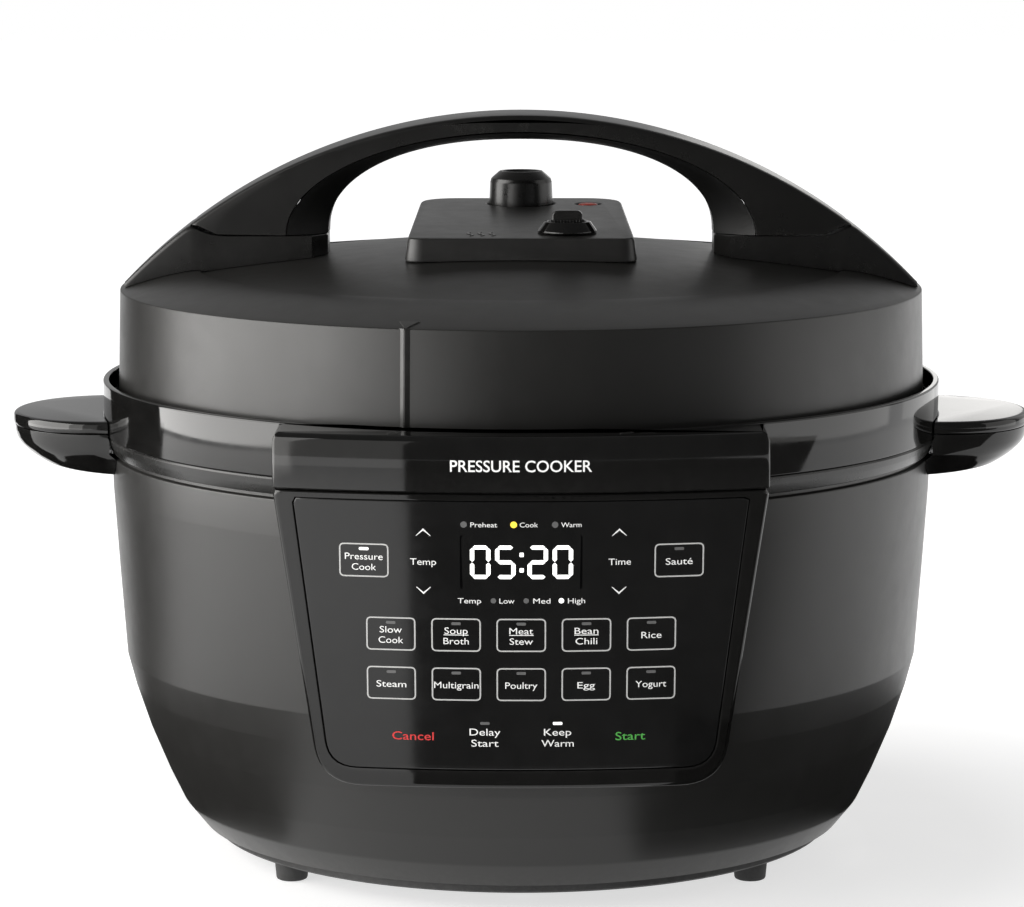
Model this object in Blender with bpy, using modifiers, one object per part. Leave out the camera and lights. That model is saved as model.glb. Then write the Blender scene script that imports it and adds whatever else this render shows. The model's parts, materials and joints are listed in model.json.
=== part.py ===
"""Electric pressure cooker with a twist-lock lid, built as separate named sub-parts.

Metres, +Z up, front towards -Y.  The pot axis stands at (0, AXIS_Y), so that the
whole part is centred on the origin in plan and rests on z = 0.
"""

import math

import bmesh
import bpy
from mathutils import Matrix, Vector

MM = 0.001
GAP = 0.3

# Overall layout (millimetres, measured from the pot axis)
FRONT_REACH = 192.0
BACK_REACH = 177.8
AXIS_Y = (FRONT_REACH - BACK_REACH) / 2.0

# Body heights and radii
BASE_Z = 7.5
SHELL_BOTTOM_Z = 12.0
CREASE_Z = 84.0
SHELL_TOP_Z = 171.4
BAND_Z = (171.8, 179.0)
COLLAR_Z = (179.3, 201.0)
COLLAR_R = 177.8
COLLAR_INNER_R = 175.4
SHELL_WALL = 2.6
ROUND_STEPS = 48
INNER_STEPS = 36

# Front control panel
FACE_Y = -192.0
FACE_TILT = 0.183
FACE_TOP_Z = 179.0
FACE_R = 350.0
BEZEL_TOP_W = 95.5
BEZEL_LOW_W = 79.0
BEZEL_BOTTOM_Z = 59.0
GLASS_TOP_W = 87.5
GLASS_LOW_W = 75.0
GLASS_Z = (67.0, 176.0)

# Lid
LID_R = 170.0
LID_SKIRT_R = 171.1
LID_BOTTOM_Z = 195.0
LID_RIM_Z = 239.0
LID_WALL = 2.6
STEP_R = 137.0
LID_TURN_MARK_DEG = 15.2
RIDGE_HALF = 1.95
RIDGE_RISE = 1.25
RIDGE_ROOT = 1.6

# Lid handle
HANDLE_HALF_DEPTH = 21.0
HANDLE_TOP_Z = 312.4
OPENING_HALF_WIDTH = 81.5
OPENING_TOP_Z = 301.6
SEAM_HALF_WIDTH = 99.0
SEAM_TOP_Z = 305.4
SEAM_Z = 262.0
HANDLE_END_X = 166.6

# Vent cover (its top rises gently towards the back)
COVER_FRONT_Y = -57.5
COVER_BACK_Y = 87.0
COVER_TOP_Z = 266.0
COVER_SLOPE = 0.0326
KNOB_Y = 67.0
FLOAT_XY = (29.5, 64.0)
LEVER_XY = (19.2, -39.0)

# Cooking pot and its well
POT_R = 130.2
POT_WALL = 1.2
POT_FLOOR_Z = 51.0
POT_RIM_Z = 188.0
WELL_R = 134.7

# Bayonet lock
LUG_COUNT = 10
LUG_HALF_DEG = 6.5

LID_PIECES = ("lid_cover", "lid_inner_plate", "ring_rack", "vent_pipe", "vent_pipe_nut", "anti_block_shield",
              "lid_handle_arch", "lid_handle_liner", "lid_handle_foot_left", "lid_handle_foot_right",
              "vent_cover", "release_collar", "lid_screw_1", "lid_screw_2")

PARTS = None
CUTTERS = None


# ------------------------------------------------------------------ helpers

def reset_scene():
    """Remove what is in the scene and make the two collections."""
    global PARTS, CUTTERS
    for obj in list(bpy.data.objects):
        bpy.data.objects.remove(obj, do_unlink=True)
    PARTS = bpy.data.collections.new("electric_pressure_cooker")
    CUTTERS = bpy.data.collections.new("cutters")
    bpy.context.scene.collection.children.link(PARTS)
    bpy.context.scene.collection.children.link(CUTTERS)


def material(name, colour, roughness, metallic=0.0):
    """A Principled material for one sub-part."""
    mat = bpy.data.materials.new(name)
    mat.use_nodes = True
    shader = mat.node_tree.nodes["Principled BSDF"]
    shader.inputs["Base Color"].default_value = (*colour, 1.0)
    shader.inputs["Roughness"].default_value = roughness
    shader.inputs["Metallic"].default_value = metallic
    return mat


def matt_black(name):
    return material(name, (0.030, 0.029, 0.028), 0.55)


def gloss_black(name):
    return material(name, (0.012, 0.012, 0.012), 0.12)


def dark_plastic(name):
    return material(name, (0.018, 0.017, 0.016), 0.4)


def steel(name):
    return material(name, (0.62, 0.62, 0.60), 0.28, 1.0)


def cast_alloy(name):
    return material(name, (0.55, 0.55, 0.56), 0.45, 1.0)


def rubber(name, colour=(0.02, 0.02, 0.02)):
    return material(name, colour, 0.8)


def add_object(name, mesh, mat, centre=(0.0, 0.0, 0.0), cutter=False):
    """Link a mesh whose coordinates are millimetres about `centre` (also millimetres)."""
    mesh.transform(Matrix.Scale(MM, 4))
    obj = bpy.data.objects.new(name, mesh)
    obj.location = (centre[0] * MM, (centre[1] + AXIS_Y) * MM, centre[2] * MM)
    if cutter:
        CUTTERS.objects.link(obj)
        obj.hide_render = True
        obj.display_type = "WIRE"
    else:
        PARTS.objects.link(obj)
        mesh.materials.append(mat)
    return obj


def mesh_from(name, points, faces=(), edges=()):
    mesh = bpy.data.meshes.new(name)
    mesh.from_pydata([tuple(p) for p in points], list(edges), list(faces))
    mesh.update()
    return mesh


def face_out(mesh):
    """Merge doubled points and turn every face outward."""
    work = bmesh.new()
    work.from_mesh(mesh)
    bmesh.ops.remove_doubles(work, verts=work.verts, dist=1e-4)
    bmesh.ops.recalc_face_normals(work, faces=work.faces)
    work.to_mesh(mesh)
    work.free()
    return mesh


def smooth(obj, angle=35.0):
    obj.data.shade_smooth()
    obj.data.set_sharp_from_angle(angle=math.radians(angle))
    return obj


def spin(name, profile, mat, centre=(0.0, 0.0, 0.0), steps=ROUND_STEPS, ring=True, cutter=False):
    """Revolve (radius, z) points about the vertical axis through `centre`.

    The profile runs down the outer side.  A ring profile closes on itself; the
    other kind starts and ends on the axis.
    """
    count = len(profile)
    edges = [(i, i + 1) for i in range(count - 1)]
    if ring:
        edges.append((count - 1, 0))
    mesh = mesh_from(name, [(r, 0.0, z - centre[2]) for r, z in profile], edges=edges)
    obj = add_object(name, mesh, mat, centre, cutter)
    screw = obj.modifiers.new("Revolve", "SCREW")
    screw.axis = "Z"
    screw.angle = math.tau
    screw.steps = steps
    screw.render_steps = steps
    screw.use_merge_vertices = True
    screw.merge_threshold = 0.00001
    screw.use_smooth_shade = True
    return obj


def prism(name, outline, low, high, mat=None, plane="XY", centre=(0.0, 0.0, 0.0), cutter=False):
    """Extrude a closed outline between `low` and `high` along the plane's normal."""
    curve = bpy.data.curves.new(name, "CURVE")
    curve.dimensions = "2D"
    curve.fill_mode = "BOTH"
    curve.extrude = (high - low) / 2.0
    spline = curve.splines.new("POLY")
    spline.points.add(len(outline) - 1)
    for point, (u, v) in zip(spline.points, outline):
        point.co = (u, v, 0.0, 1.0)
    spline.use_cyclic_u = True
    holder = bpy.data.objects.new(name + "_outline", curve)
    mesh = bpy.data.meshes.new_from_object(holder)
    bpy.data.objects.remove(holder, do_unlink=True)
    bpy.data.curves.remove(curve)
    mesh.transform(Matrix.Translation((0.0, 0.0, (high + low) / 2.0)))
    if plane == "XZ":
        mesh.transform(Matrix(((1, 0, 0, 0), (0, 0, 1, 0), (0, 1, 0, 0), (0, 0, 0, 1))))
    mesh.transform(Matrix.Translation(-Vector(centre)))
    face_out(mesh)
    mesh.name = name
    return smooth(add_object(name, mesh, mat, centre, cutter), 30.0)


def box(name, size, middle, mat=None, bevel=0.0, cutter=False):
    """A rectangular block with an optional rounded edge."""
    work = bmesh.new()
    bmesh.ops.create_cube(work, size=1.0)
    bmesh.ops.scale(work, vec=size, verts=work.verts)
    mesh = bpy.data.meshes.new(name)
    work.to_mesh(mesh)
    work.free()
    obj = add_object(name, mesh, mat, middle, cutter)
    if bevel:
        add_bevel(obj, bevel)
    return obj


def add_bevel(obj, width, segments=2, angle=40.0):
    bevel = obj.modifiers.new("Edge", "BEVEL")
    bevel.width = width * MM
    bevel.segments = segments
    bevel.limit_method = "ANGLE"
    bevel.angle_limit = math.radians(angle)
    return obj


def loft(name, rings, mat, centre=(0.0, 0.0, 0.0), cutter=False, angle=30.0):
    """Skin a list of rings that have the same number of points, with closed ends."""
    count = len(rings[0])
    points = [Vector(p) - Vector(centre) for ring in rings for p in ring]
    faces = []
    for row in range(len(rings) - 1):
        for i in range(count):
            j = (i + 1) % count
            a = row * count
            faces.append((a + i, a + j, a + count + j, a + count + i))
    last = (len(rings) - 1) * count
    half = count // 2
    for start in (0, last):
        for i in range(half - 1):
            quad = (start + i, start + i + 1, start + count - 2 - i, start + count - 1 - i)
            faces.append(quad)
    mesh = face_out(mesh_from(name, points, faces))
    return smooth(add_object(name, mesh, mat, centre, cutter), angle)


def cut(target, cutter, operation="DIFFERENCE"):
    boolean = target.modifiers.new(cutter.name, "BOOLEAN")
    boolean.operation = operation
    boolean.solver = "EXACT"
    boolean.object = cutter
    return target


def arc(cx, cy, radius, start, stop, steps):
    """Points on a circle, angles in degrees, both ends included."""
    points = []
    for i in range(steps + 1):
        a = math.radians(start + (stop - start) * i / steps)
        points.append((cx + radius * math.cos(a), cy + radius * math.sin(a)))
    return points


def rounded(corners, radii, steps=4):
    """Round the corners of a closed outline."""
    points = []
    count = len(corners)
    for i, (corner, radius) in enumerate(zip(corners, radii)):
        here = Vector(corner)
        if radius <= 0.0:
            points.append(tuple(here))
            continue
        back = (Vector(corners[i - 1]) - here).normalized()
        ahead = (Vector(corners[(i + 1) % count]) - here).normalized()
        half = back.angle(ahead) / 2.0
        middle = here + (back + ahead).normalized() * (radius / math.sin(half))
        first = here + back * (radius / math.tan(half)) - middle
        second = here + ahead * (radius / math.tan(half)) - middle
        for k in range(steps + 1):
            direction = first.lerp(second, k / steps)
            points.append(tuple(middle + direction.normalized() * radius))
    return points


def disc_profile(radius, low, high, edge=0.0):
    """Half-section of a solid disc, top to bottom."""
    if edge:
        return [(0.0, high), (radius - edge, high), (radius, high - edge),
                (radius, low + edge), (radius - edge, low), (0.0, low)]
    return [(0.0, high), (radius, high), (radius, low), (0.0, low)]


def polar(radius, degrees):
    """Plan position at an angle from the front, anticlockwise from above."""
    a = math.radians(degrees - 90.0)
    return radius * math.cos(a), radius * math.sin(a)


# --------------------------------------------------------------- the surfaces

SHELL_OUTER = [(172.8, SHELL_TOP_Z), (172.8, 170.2), (174.3, 169.7), (173.9, 155.0),
               (171.6, 120.0), (169.0, CREASE_Z), (165.6, 71.0), (159.6, 53.0),
               (152.2, 35.0), (146.0, 22.0), (138.0, SHELL_BOTTOM_Z)]


def outer_surface(extra):
    """Half-section of a solid that fills the shell, band and collar, plus `extra`."""
    profile = [(0.0, 230.0), (COLLAR_R + extra, 230.0), (COLLAR_R + extra, BAND_Z[1] - 1.2)]
    profile += [(176.6 + extra, 175.4), (174.9 + extra, BAND_Z[0])]
    profile += [(r + extra, z) for r, z in SHELL_OUTER[2:]]
    profile.append((0.0, SHELL_BOTTOM_Z))
    return profile


LID_TOP = [(LID_R, LID_RIM_Z), (165.0, 241.0), (152.0, 244.4), (STEP_R, 247.2),
           (135.6, 246.4), (118.0, 248.7), (102.0, 250.6), (83.0, 252.7),
           (60.0, 254.7), (36.0, 256.1)]
LID_APEX_Z = 257.0


def lid_height(radius):
    """Height of the lid's top surface at a distance from the axis."""
    table = [(0.0, LID_APEX_Z)] + LID_TOP[::-1]
    for (r0, z0), (r1, z1) in zip(table, table[1:]):
        if r0 <= radius <= r1:
            return z0 + (z1 - z0) * (radius - r0) / (r1 - r0)
    return LID_RIM_Z


def cover_top(y):
    """Height of the vent cover's top surface."""
    return COVER_TOP_Z + COVER_SLOPE * y


def face_y(x, z, depth=0.0):
    """Distance of the control panel's face from the axis, `depth` behind the surface."""
    return FACE_Y + (FACE_TOP_Z - z) * FACE_TILT + x * x / (2.0 * FACE_R) + depth


# ----------------------------------------------------------------------- base

def build_shell():
    inner = [(r - SHELL_WALL, z) for r, z in SHELL_OUTER[4:-1]]
    inner[-1] = (145.0, 24.5)
    profile = [(169.6, SHELL_TOP_Z)] + SHELL_OUTER
    profile += [(118.0, SHELL_BOTTOM_Z), (118.0, SHELL_BOTTOM_Z + 2.6)]
    profile += [(137.5, SHELL_BOTTOM_Z + 2.6)] + inner[::-1]
    shell = spin("outer_shell", profile, matt_black("shell_matt_black"))
    slot = box("inlet_opening", (34.6, 60.0, 26.6), (0.0, 150.0, 48.0), cutter=True)
    return cut(shell, slot)


def build_shoulder():
    low, high = BAND_Z
    profile = [(168.5, high), (176.6, high), (177.1, high - 0.9), (176.3, 175.4), (174.7, low), (168.5, low)]
    return spin("shoulder_band", profile, material("band_satin_black", (0.02, 0.02, 0.02), 0.3))


def build_collar():
    low, high = COLLAR_Z
    profile = [(COLLAR_INNER_R, high), (COLLAR_R - 0.7, high), (COLLAR_R, high - 0.7), (COLLAR_R - 0.3, low),
               (158.0, low), (158.0, low + 2.4), (COLLAR_INNER_R - 0.4, low + 2.4)]
    return spin("collar_ring", profile, gloss_black("collar_gloss_black"))


def build_brow():
    """Curved name band that stands out in front of the collar."""
    low, high = COLLAR_Z
    rings = []
    for z, draft in ((low, 0.0), (low + 10.0, 0.0), (high - 2.0, 0.4), (high, 1.6)):
        front = [(x, face_y(x, FACE_TOP_Z) + draft) for x in spread(-95.5 + draft, 95.5 - draft, 12)]
        back = [(x, -125.0) for x in spread(95.5 - draft, -95.5 + draft, 12)]
        rings.append([(x, y, z) for x, y in front + back])
    brow = loft("front_brow", rings, gloss_black("brow_gloss_black"))
    return cut(brow, spin("brow_back", outer_surface(GAP), None, ring=False, cutter=True))


def spread(start, stop, steps):
    return [start + (stop - start) * i / steps for i in range(steps + 1)]


def face_solid(name, depth, back=-90.0):
    """Everything behind the panel's face, as a cutter."""
    rings = []
    for z in (40.0, 190.0):
        front = [(x, face_y(x, z, depth), z) for x in spread(-108.0, 108.0, 14)]
        rear = [(x, back, z) for x in spread(108.0, -108.0, 14)]
        rings.append(front + rear)
    return loft(name, rings, None, cutter=True)


def panel_outline(top_w, low_w, bottom, top, corner):
    corners = [(-top_w, top), (-low_w, bottom), (low_w, bottom), (top_w, top)]
    return rounded(corners, [1.0, corner, corner, 1.0], 5)


def build_panel():
    bezel_shape = panel_outline(BEZEL_TOP_W, BEZEL_LOW_W, BEZEL_BOTTOM_Z, FACE_TOP_Z, 19.0)
    bezel = prism("panel_bezel", bezel_shape, -210.0, -100.0, gloss_black("bezel_gloss_black"), "XZ")
    cut(bezel, face_solid("bezel_face", 0.0), "INTERSECT")
    cut(bezel, spin("bezel_back", outer_surface(GAP), None, ring=False, cutter=True))
    recess_shape = panel_outline(GLASS_TOP_W + GAP, GLASS_LOW_W + GAP, GLASS_Z[0] - GAP, GLASS_Z[1] + GAP, 12.3)
    recess = prism("panel_recess", recess_shape, -215.0, -100.0, plane="XZ", cutter=True)
    cut(recess, face_solid("recess_floor", 2.3))
    cut(bezel, recess)
    cut(bezel, box("board_window", (86.0, 100.0, 66.0), (0.0, -150.0, 134.0), cutter=True))

    glass_shape = panel_outline(GLASS_TOP_W, GLASS_LOW_W, GLASS_Z[0], GLASS_Z[1], 12.0)
    glass = prism("touch_panel", glass_shape, -215.0, -100.0, gloss_black("touch_panel_black"), "XZ")
    cut(glass, face_solid("glass_face", 0.1), "INTERSECT")
    cut(glass, face_solid("glass_back", 1.9))


def tilted_plate(name, half_width, low, high, front, back, mat):
    """Flat plate parallel to the middle of the panel's face."""
    rings = []
    for z in (low, high):
        near, far = face_y(0.0, z, front), face_y(0.0, z, back)
        rings.append([(-half_width, near, z), (half_width, near, z), (half_width, far, z), (-half_width, far, z)])
    return loft(name, rings, mat)


def build_electronics():
    board_green = material("board_green", (0.02, 0.12, 0.05), 0.5)
    tilted_plate("control_board", 41.0, 103.0, 165.0, 5.2, 6.6, board_green)
    display = material("display_module_black", (0.01, 0.01, 0.012), 0.2)
    tilted_plate("display_module", 23.5, 141.0, 163.0, 3.2, 4.9, display)
    power_green = material("power_board_green", (0.03, 0.16, 0.07), 0.5)
    box("power_board", (80.0, 52.0, 1.6), (0.0, 95.0, 24.0), power_green)
    for i, x in enumerate((-30.0, 30.0), 1):
        post = material(f"board_post_{i}_plastic", (0.6, 0.6, 0.58), 0.5)
        spin(f"board_post_{i}", disc_profile(4.0, 12.3, 22.9), post, (x, 95.0, 0.0), 12, ring=False)
    box("relay", (20.0, 15.0, 13.0), (-22.0, 95.0, 31.7), material("relay_blue", (0.02, 0.06, 0.2), 0.4), 0.6)
    box("transformer", (26.0, 24.0, 15.0), (16.0, 92.0, 32.7),
        material("transformer_yellow", (0.5, 0.33, 0.03), 0.5), 0.8)


def build_base_plate():
    profile = [(0.0, 11.7), (133.0, 11.7), (133.0, BASE_Z + 0.8), (132.2, BASE_Z), (0.0, BASE_Z)]
    spin("base_plate", profile, matt_black("base_plate_black"), ring=False)
    spots = ((-95.0, -80.0), (95.0, -80.0), (95.0, 80.0), (-95.0, 80.0))
    names = ("front_left", "front_right", "rear_right", "rear_left")
    for (x, y), where in zip(spots, names):
        foot = [(0.0, 7.2), (7.1, 7.2), (6.5, 0.8), (5.7, 0.0), (0.0, 0.0)]
        spin(f"foot_{where}", foot, rubber(f"foot_{where}_rubber"), (x, y, 0.0), 20, ring=False)


def build_inlet():
    """Recessed mains inlet with three flat pins, at the back."""
    middle = (0.0, 152.0, 48.0)
    inlet = box("power_inlet", (34.0, 30.0, 26.0), middle, dark_plastic("inlet_black"), 1.2)
    hollow = box("inlet_recess", (24.4, 30.0, 16.4), (0.0, 160.0, 48.0), cutter=True)
    cut(inlet, hollow)
    for i, (x, z) in enumerate(((-7.0, 46.0), (0.0, 51.0), (7.0, 46.0)), 1):
        box(f"inlet_pin_{i}", (2.2, 16.0, 4.2), (x, 153.4, z), material(f"pin_{i}_brass", (0.6, 0.5, 0.3), 0.3, 1.0))


def handle_outline(tip, half, root, steps=12):
    """Plan of a side handle on +X: round nose, with its root along the body."""
    points = []
    flat = math.sqrt(root * root - half * half)
    for i in range(steps + 1):
        a = math.pi * i / steps - math.pi / 2.0
        points.append((flat + 3.0 + (tip - flat - 3.0) * max(math.cos(a), 0.0) ** 0.92, half * math.sin(a)))
    for i in range(steps + 1):
        y = half - 2.0 * half * i / steps
        points.append((math.sqrt(root * root - y * y), y))
    return points


def build_side_handles():
    for side, sign in (("left", -1.0), ("right", 1.0)):
        upper = [(180.9, 216.5, 44.3), (185.2, 216.9, 44.5), (186.0, 215.9, 43.6)]
        lower = [(162.8, 203.0, 38.0), (165.5, 209.5, 41.0), (172.0, 214.5, 43.3), (180.5, 216.3, 44.0)]
        for kind, levels in (("upper", upper), ("lower", lower)):
            rings = []
            for z, tip, half in levels:
                outline = handle_outline(tip, half, COLLAR_R + 0.4)
                rings.append([(sign * x, y, z) for x, y in outline])
            look = gloss_black(f"side_handle_{kind}_{side}_black")
            loft(f"side_handle_{kind}_{side}", rings, look, angle=40.0)


def build_well():
    """Metal well that holds the pot, its heater and the sensor under it."""
    profile = [(132.0, 183.6), (166.0, 183.6), (166.0, 182.1), (WELL_R, 182.1), (WELL_R, 50.0),
               (130.7, 46.0), (101.0, 46.0), (101.0, 47.2), (130.0, 47.2), (133.5, 50.8), (133.5, 180.0)]
    spin("pot_well", profile, steel("well_steel"), steps=INNER_STEPS)
    lock = [(155.0, 198.5), (157.0, 198.5), (157.0, 186.4), (166.0, 186.4), (166.0, 184.0), (155.0, 184.0)]
    flange = spin("locking_flange", lock, steel("flange_steel"), steps=INNER_STEPS)
    for i in range(LUG_COUNT):
        lug_cutter = lug_block(f"flange_lug_{i}", 147.8, 155.8, 193.4, 196.4, 18.0 + 36.0 * i)
        cut(flange, lug_cutter, "UNION")

    plate = [(16.0, 49.9), (60.0, 50.6), (97.0, 50.2), (99.0, 48.6), (99.0, 43.0), (16.0, 43.0)]
    spin("heating_plate", plate, cast_alloy("heating_plate_alloy"), steps=INNER_STEPS)
    tube = arc(70.0, 38.6, 4.0, 90.0, -225.0, 7)
    spin("heating_element", tube, steel("element_steel"), steps=INNER_STEPS)
    for i, angle in enumerate((0.0, 120.0, 240.0), 1):
        x, y = polar(85.0, angle)
        post = [(0.0, 42.7), (5.0, 42.7), (5.0, 12.0), (0.0, 12.0)]
        look = steel(f"heater_post_{i}_steel")
        spin(f"heater_post_{i}", post, look, (x, y, 0.0), 14, ring=False)

    sensor = [(0.0, 50.7), (10.0, 50.7), (11.5, 49.4), (11.5, 44.0), (4.0, 44.0), (4.0, 22.0), (0.0, 22.0)]
    spin("temperature_sensor", sensor, cast_alloy("sensor_alloy"), (0.0, 0.0, 44.0), 24, ring=False)
    holder = [(4.8, 26.6), (13.0, 26.6), (13.0, 12.0), (4.8, 12.0)]
    spin("sensor_holder", holder, dark_plastic("sensor_holder_black"), steps=24)
    build_spring()
    fuse = disc_profile(3.4, -11.0, 11.0, 0.8)
    look = material("fuse_white", (0.7, 0.68, 0.62), 0.5)
    lying = spin("thermal_fuse", fuse, look, (40.0, 0.0, 0.0), 12, ring=False)
    lying.rotation_euler = (math.pi / 2.0, 0.0, 0.0)
    lying.location.z = 38.0 * MM


def build_spring():
    """Coil under the sensor's cap."""
    turns, low, high, radius, wire = 4.0, 27.9, 42.8, 8.2, 0.75
    steps = 12
    rings = []
    for i in range(int(turns * steps) + 1):
        a = math.tau * i / steps
        rise = low + (high - low) * i / (turns * steps)
        ring = []
        for k in range(6):
            b = math.tau * k / 6
            r = radius + wire * math.cos(b)
            ring.append((r * math.cos(a), r * math.sin(a), rise + wire * math.sin(b)))
        rings.append(ring)
    loft("sensor_spring", rings, steel("spring_steel"), (0.0, 0.0, 27.0), angle=80.0)


def lug_block(name, inner, outer, low, high, degrees):
    """Short arc-shaped tooth, as a cutter."""
    rings = []
    for z in (low, high):
        near = [(*polar(inner, degrees + s), z) for s in spread(-LUG_HALF_DEG, LUG_HALF_DEG, 3)]
        far = [(*polar(outer, degrees + s), z) for s in spread(LUG_HALF_DEG, -LUG_HALF_DEG, 3)]
        rings.append(near + far)
    return loft(name, rings, None, cutter=True)


def build_pot():
    """Removable cooking pot with a rolled rim."""
    r = POT_R
    floor = POT_FLOOR_Z
    profile = [(r - POT_WALL, POT_RIM_Z), (138.0, POT_RIM_Z), (138.6, POT_RIM_Z - 0.9), (138.0, POT_RIM_Z - 1.6),
               (r, POT_RIM_Z - 1.6)]
    profile += arc(r - 12.0, floor + 12.0, 12.0, 0.0, -90.0, 4)
    profile = [(0.0, floor + POT_WALL)] + arc(r - 12.0, floor + 12.0, 12.0 - POT_WALL, -90.0, 0.0, 4) + profile
    profile.append((0.0, floor))
    spin("inner_pot", profile, steel("pot_steel"), steps=INNER_STEPS, ring=False)


def build_ring():
    profile = [(128.0, 197.0), (139.0, 197.0), (141.0, 194.6), (141.0, 190.2), (139.5, POT_RIM_Z + GAP),
               (131.0, POT_RIM_Z + GAP), (131.0, 190.4), (127.4, 191.4), (126.4, 194.6)]
    spin("sealing_ring", profile, rubber("ring_silicone", (0.55, 0.55, 0.53)), steps=INNER_STEPS)


# ------------------------------------------------------------------------ lid

def build_lid_cover():
    inner = [(0.0, LID_APEX_Z - LID_WALL)]
    inner += [(r, z - LID_WALL) for r, z in reversed(LID_TOP[6::2])]
    inner += [(134.5, 243.6), (151.5, 241.6), (164.0, 238.4), (167.4, 235.5), (168.4, LID_BOTTOM_Z)]
    outer = [(0.0, LID_APEX_Z)] + LID_TOP[::-1][:-1]
    outer += [(LID_R - 0.5, LID_RIM_Z), (LID_R, LID_RIM_Z - 0.5), (LID_SKIRT_R, LID_BOTTOM_Z + 0.6),
              (LID_SKIRT_R - 0.6, LID_BOTTOM_Z)]
    cover = spin("lid_cover", outer + inner[::-1], matt_black("lid_matt_black"), ring=False)
    x, y = polar(LID_SKIRT_R, -LID_TURN_MARK_DEG)
    half = RIDGE_HALF * (RIDGE_RISE + RIDGE_ROOT) / RIDGE_RISE
    section = [(-half, RIDGE_ROOT), (0.0, -RIDGE_RISE), (half, RIDGE_ROOT)]
    ridge = prism("mark_ridge", section, LID_BOTTOM_Z + 1.0, LID_RIM_Z - 0.6, cutter=True)
    ridge.location = (x * MM, (y + AXIS_Y) * MM, 0.0)
    ridge.rotation_euler = (0.0, 0.0, math.radians(-LID_TURN_MARK_DEG))
    cut(cover, ridge, "UNION")
    for name, (cx, cy), radius in (("knob_hole", (0.0, KNOB_Y), 9.0), ("float_hole", FLOAT_XY, 5.6)):
        hole = spin(name, disc_profile(radius, 230.0, 275.0), None, (cx, cy, 0.0), 20, False, True)
        cut(cover, hole)


def build_lid_inside():
    """Steel inner lid with its lugs, ring rack and valve fittings."""
    profile = [(0.0, 240.0), (60.0, 238.6), (105.0, 234.0), (143.0, 226.0), (145.0, 223.0), (145.0, 187.0),
               (143.5, 187.0), (143.5, 222.0), (141.6, 224.6), (104.0, 232.6), (60.0, 237.2), (0.0, 238.6)]
    plate = spin("lid_inner_plate", profile, steel("inner_plate_steel"), steps=INNER_STEPS, ring=False)
    for i in range(LUG_COUNT):
        cut(plate, lug_block(f"plate_lug_{i}", 144.2, 151.6, 187.0, 190.0, 36.0 * i), "UNION")
    for name, (cx, cy), radius in (("pipe_hole", (0.0, KNOB_Y), 5.4), ("pin_hole", FLOAT_XY, 5.0)):
        hole = spin(name, disc_profile(radius, 225.0, 250.0), None, (cx, cy, 0.0), 16, False, True)
        cut(plate, hole)
    rack = [(118.0, 226.0), (120.2, 226.0), (120.2, 197.0), (124.6, 195.0), (124.6, 192.4), (122.0, 192.4),
            (118.0, 195.4)]
    spin("ring_rack", rack, steel("rack_steel"), steps=INNER_STEPS)

    top = cover_top(KNOB_Y)
    pipe = [(2.2, top + 5.0), (4.6, top + 5.0), (4.6, 242.6), (7.6, 242.6), (7.6, 240.4), (4.8, 240.4),
            (4.8, 226.0), (2.2, 226.0)]
    spin("vent_pipe", pipe, steel("pipe_steel"), (0.0, KNOB_Y, 0.0), 20)
    at_knob = (0.0, KNOB_Y, 0.0)
    nut = spin("vent_pipe_nut", disc_profile(9.6, 229.4, 233.6), steel("nut_steel"), at_knob, 6, ring=False)
    cut(nut, spin("nut_bore", disc_profile(5.3, 220.0, 240.0), None, at_knob, 20, False, True))
    shield = [(0.0, 222.2), (8.4, 222.2), (9.8, 223.6), (9.8, 229.0), (11.0, 229.0), (11.0, 223.0), (9.0, 221.0),
              (0.0, 221.0)]
    spin("anti_block_shield", shield, steel("shield_steel"), at_knob, 18, ring=False)


def handle_arc_z(x):
    """Height of the lid handle's outer arc."""
    rise = HANDLE_TOP_Z - LID_RIM_Z
    radius = (LID_R * LID_R + rise * rise) / (2.0 * rise)
    return HANDLE_TOP_Z - radius + math.sqrt(radius * radius - x * x)


def handle_stations():
    """Outer edge, shoulder, seam and opening points along the arch, right to left."""
    stations = []
    steps = 26
    for i in range(steps + 1):
        a = math.pi * i / steps
        c, s = math.cos(a), max(math.sin(a), 0.0)
        outer = (139.0 * c, handle_arc_z(139.0 * c))
        seam = (SEAM_HALF_WIDTH * c, SEAM_Z + (SEAM_TOP_Z - SEAM_Z) * s)
        n = 2.0 / 2.25
        opening = (math.copysign(OPENING_HALF_WIDTH * abs(c) ** n, c),
                   SEAM_Z + (OPENING_TOP_Z - SEAM_Z) * s ** n)
        t = 0.28
        middle = (outer[0] + (seam[0] - outer[0]) * t, outer[1] + (seam[1] - outer[1]) * t - 2.8 * abs(c) ** 24)
        stations.append((outer, middle, seam, opening))
    return stations


def build_lid_handle():
    """Arched carrying handle: arch, chamfered liner and two feet."""
    w = HANDLE_HALF_DEPTH
    rings, liner = [], []
    for outer, middle, seam, opening in handle_stations():
        drop = Vector(outer).lerp(Vector(seam), 0.06)
        half = [(outer, w - 1.2), (tuple(drop), w), (middle, w), (seam, w)]
        rings.append([(x, -y, z) for (x, z), y in half] + [(x, y, z) for (x, z), y in reversed(half)])
        gap = (Vector(opening) - Vector(seam)).normalized() * GAP
        start = Vector(seam) + gap
        chamfer = [(tuple(start), w - 0.2), (opening, w - 12.0)]
        liner.append([(x, -y, z) for (x, z), y in chamfer] + [(x, y, z) for (x, z), y in reversed(chamfer)])
    loft("lid_handle_arch", rings, dark_plastic("handle_arch_black"))
    loft("lid_handle_liner", liner, material("handle_liner_black", (0.012, 0.011, 0.011), 0.5))
    for side, sign in (("left", -1.0), ("right", 1.0)):
        build_handle_foot(side, sign)


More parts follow.
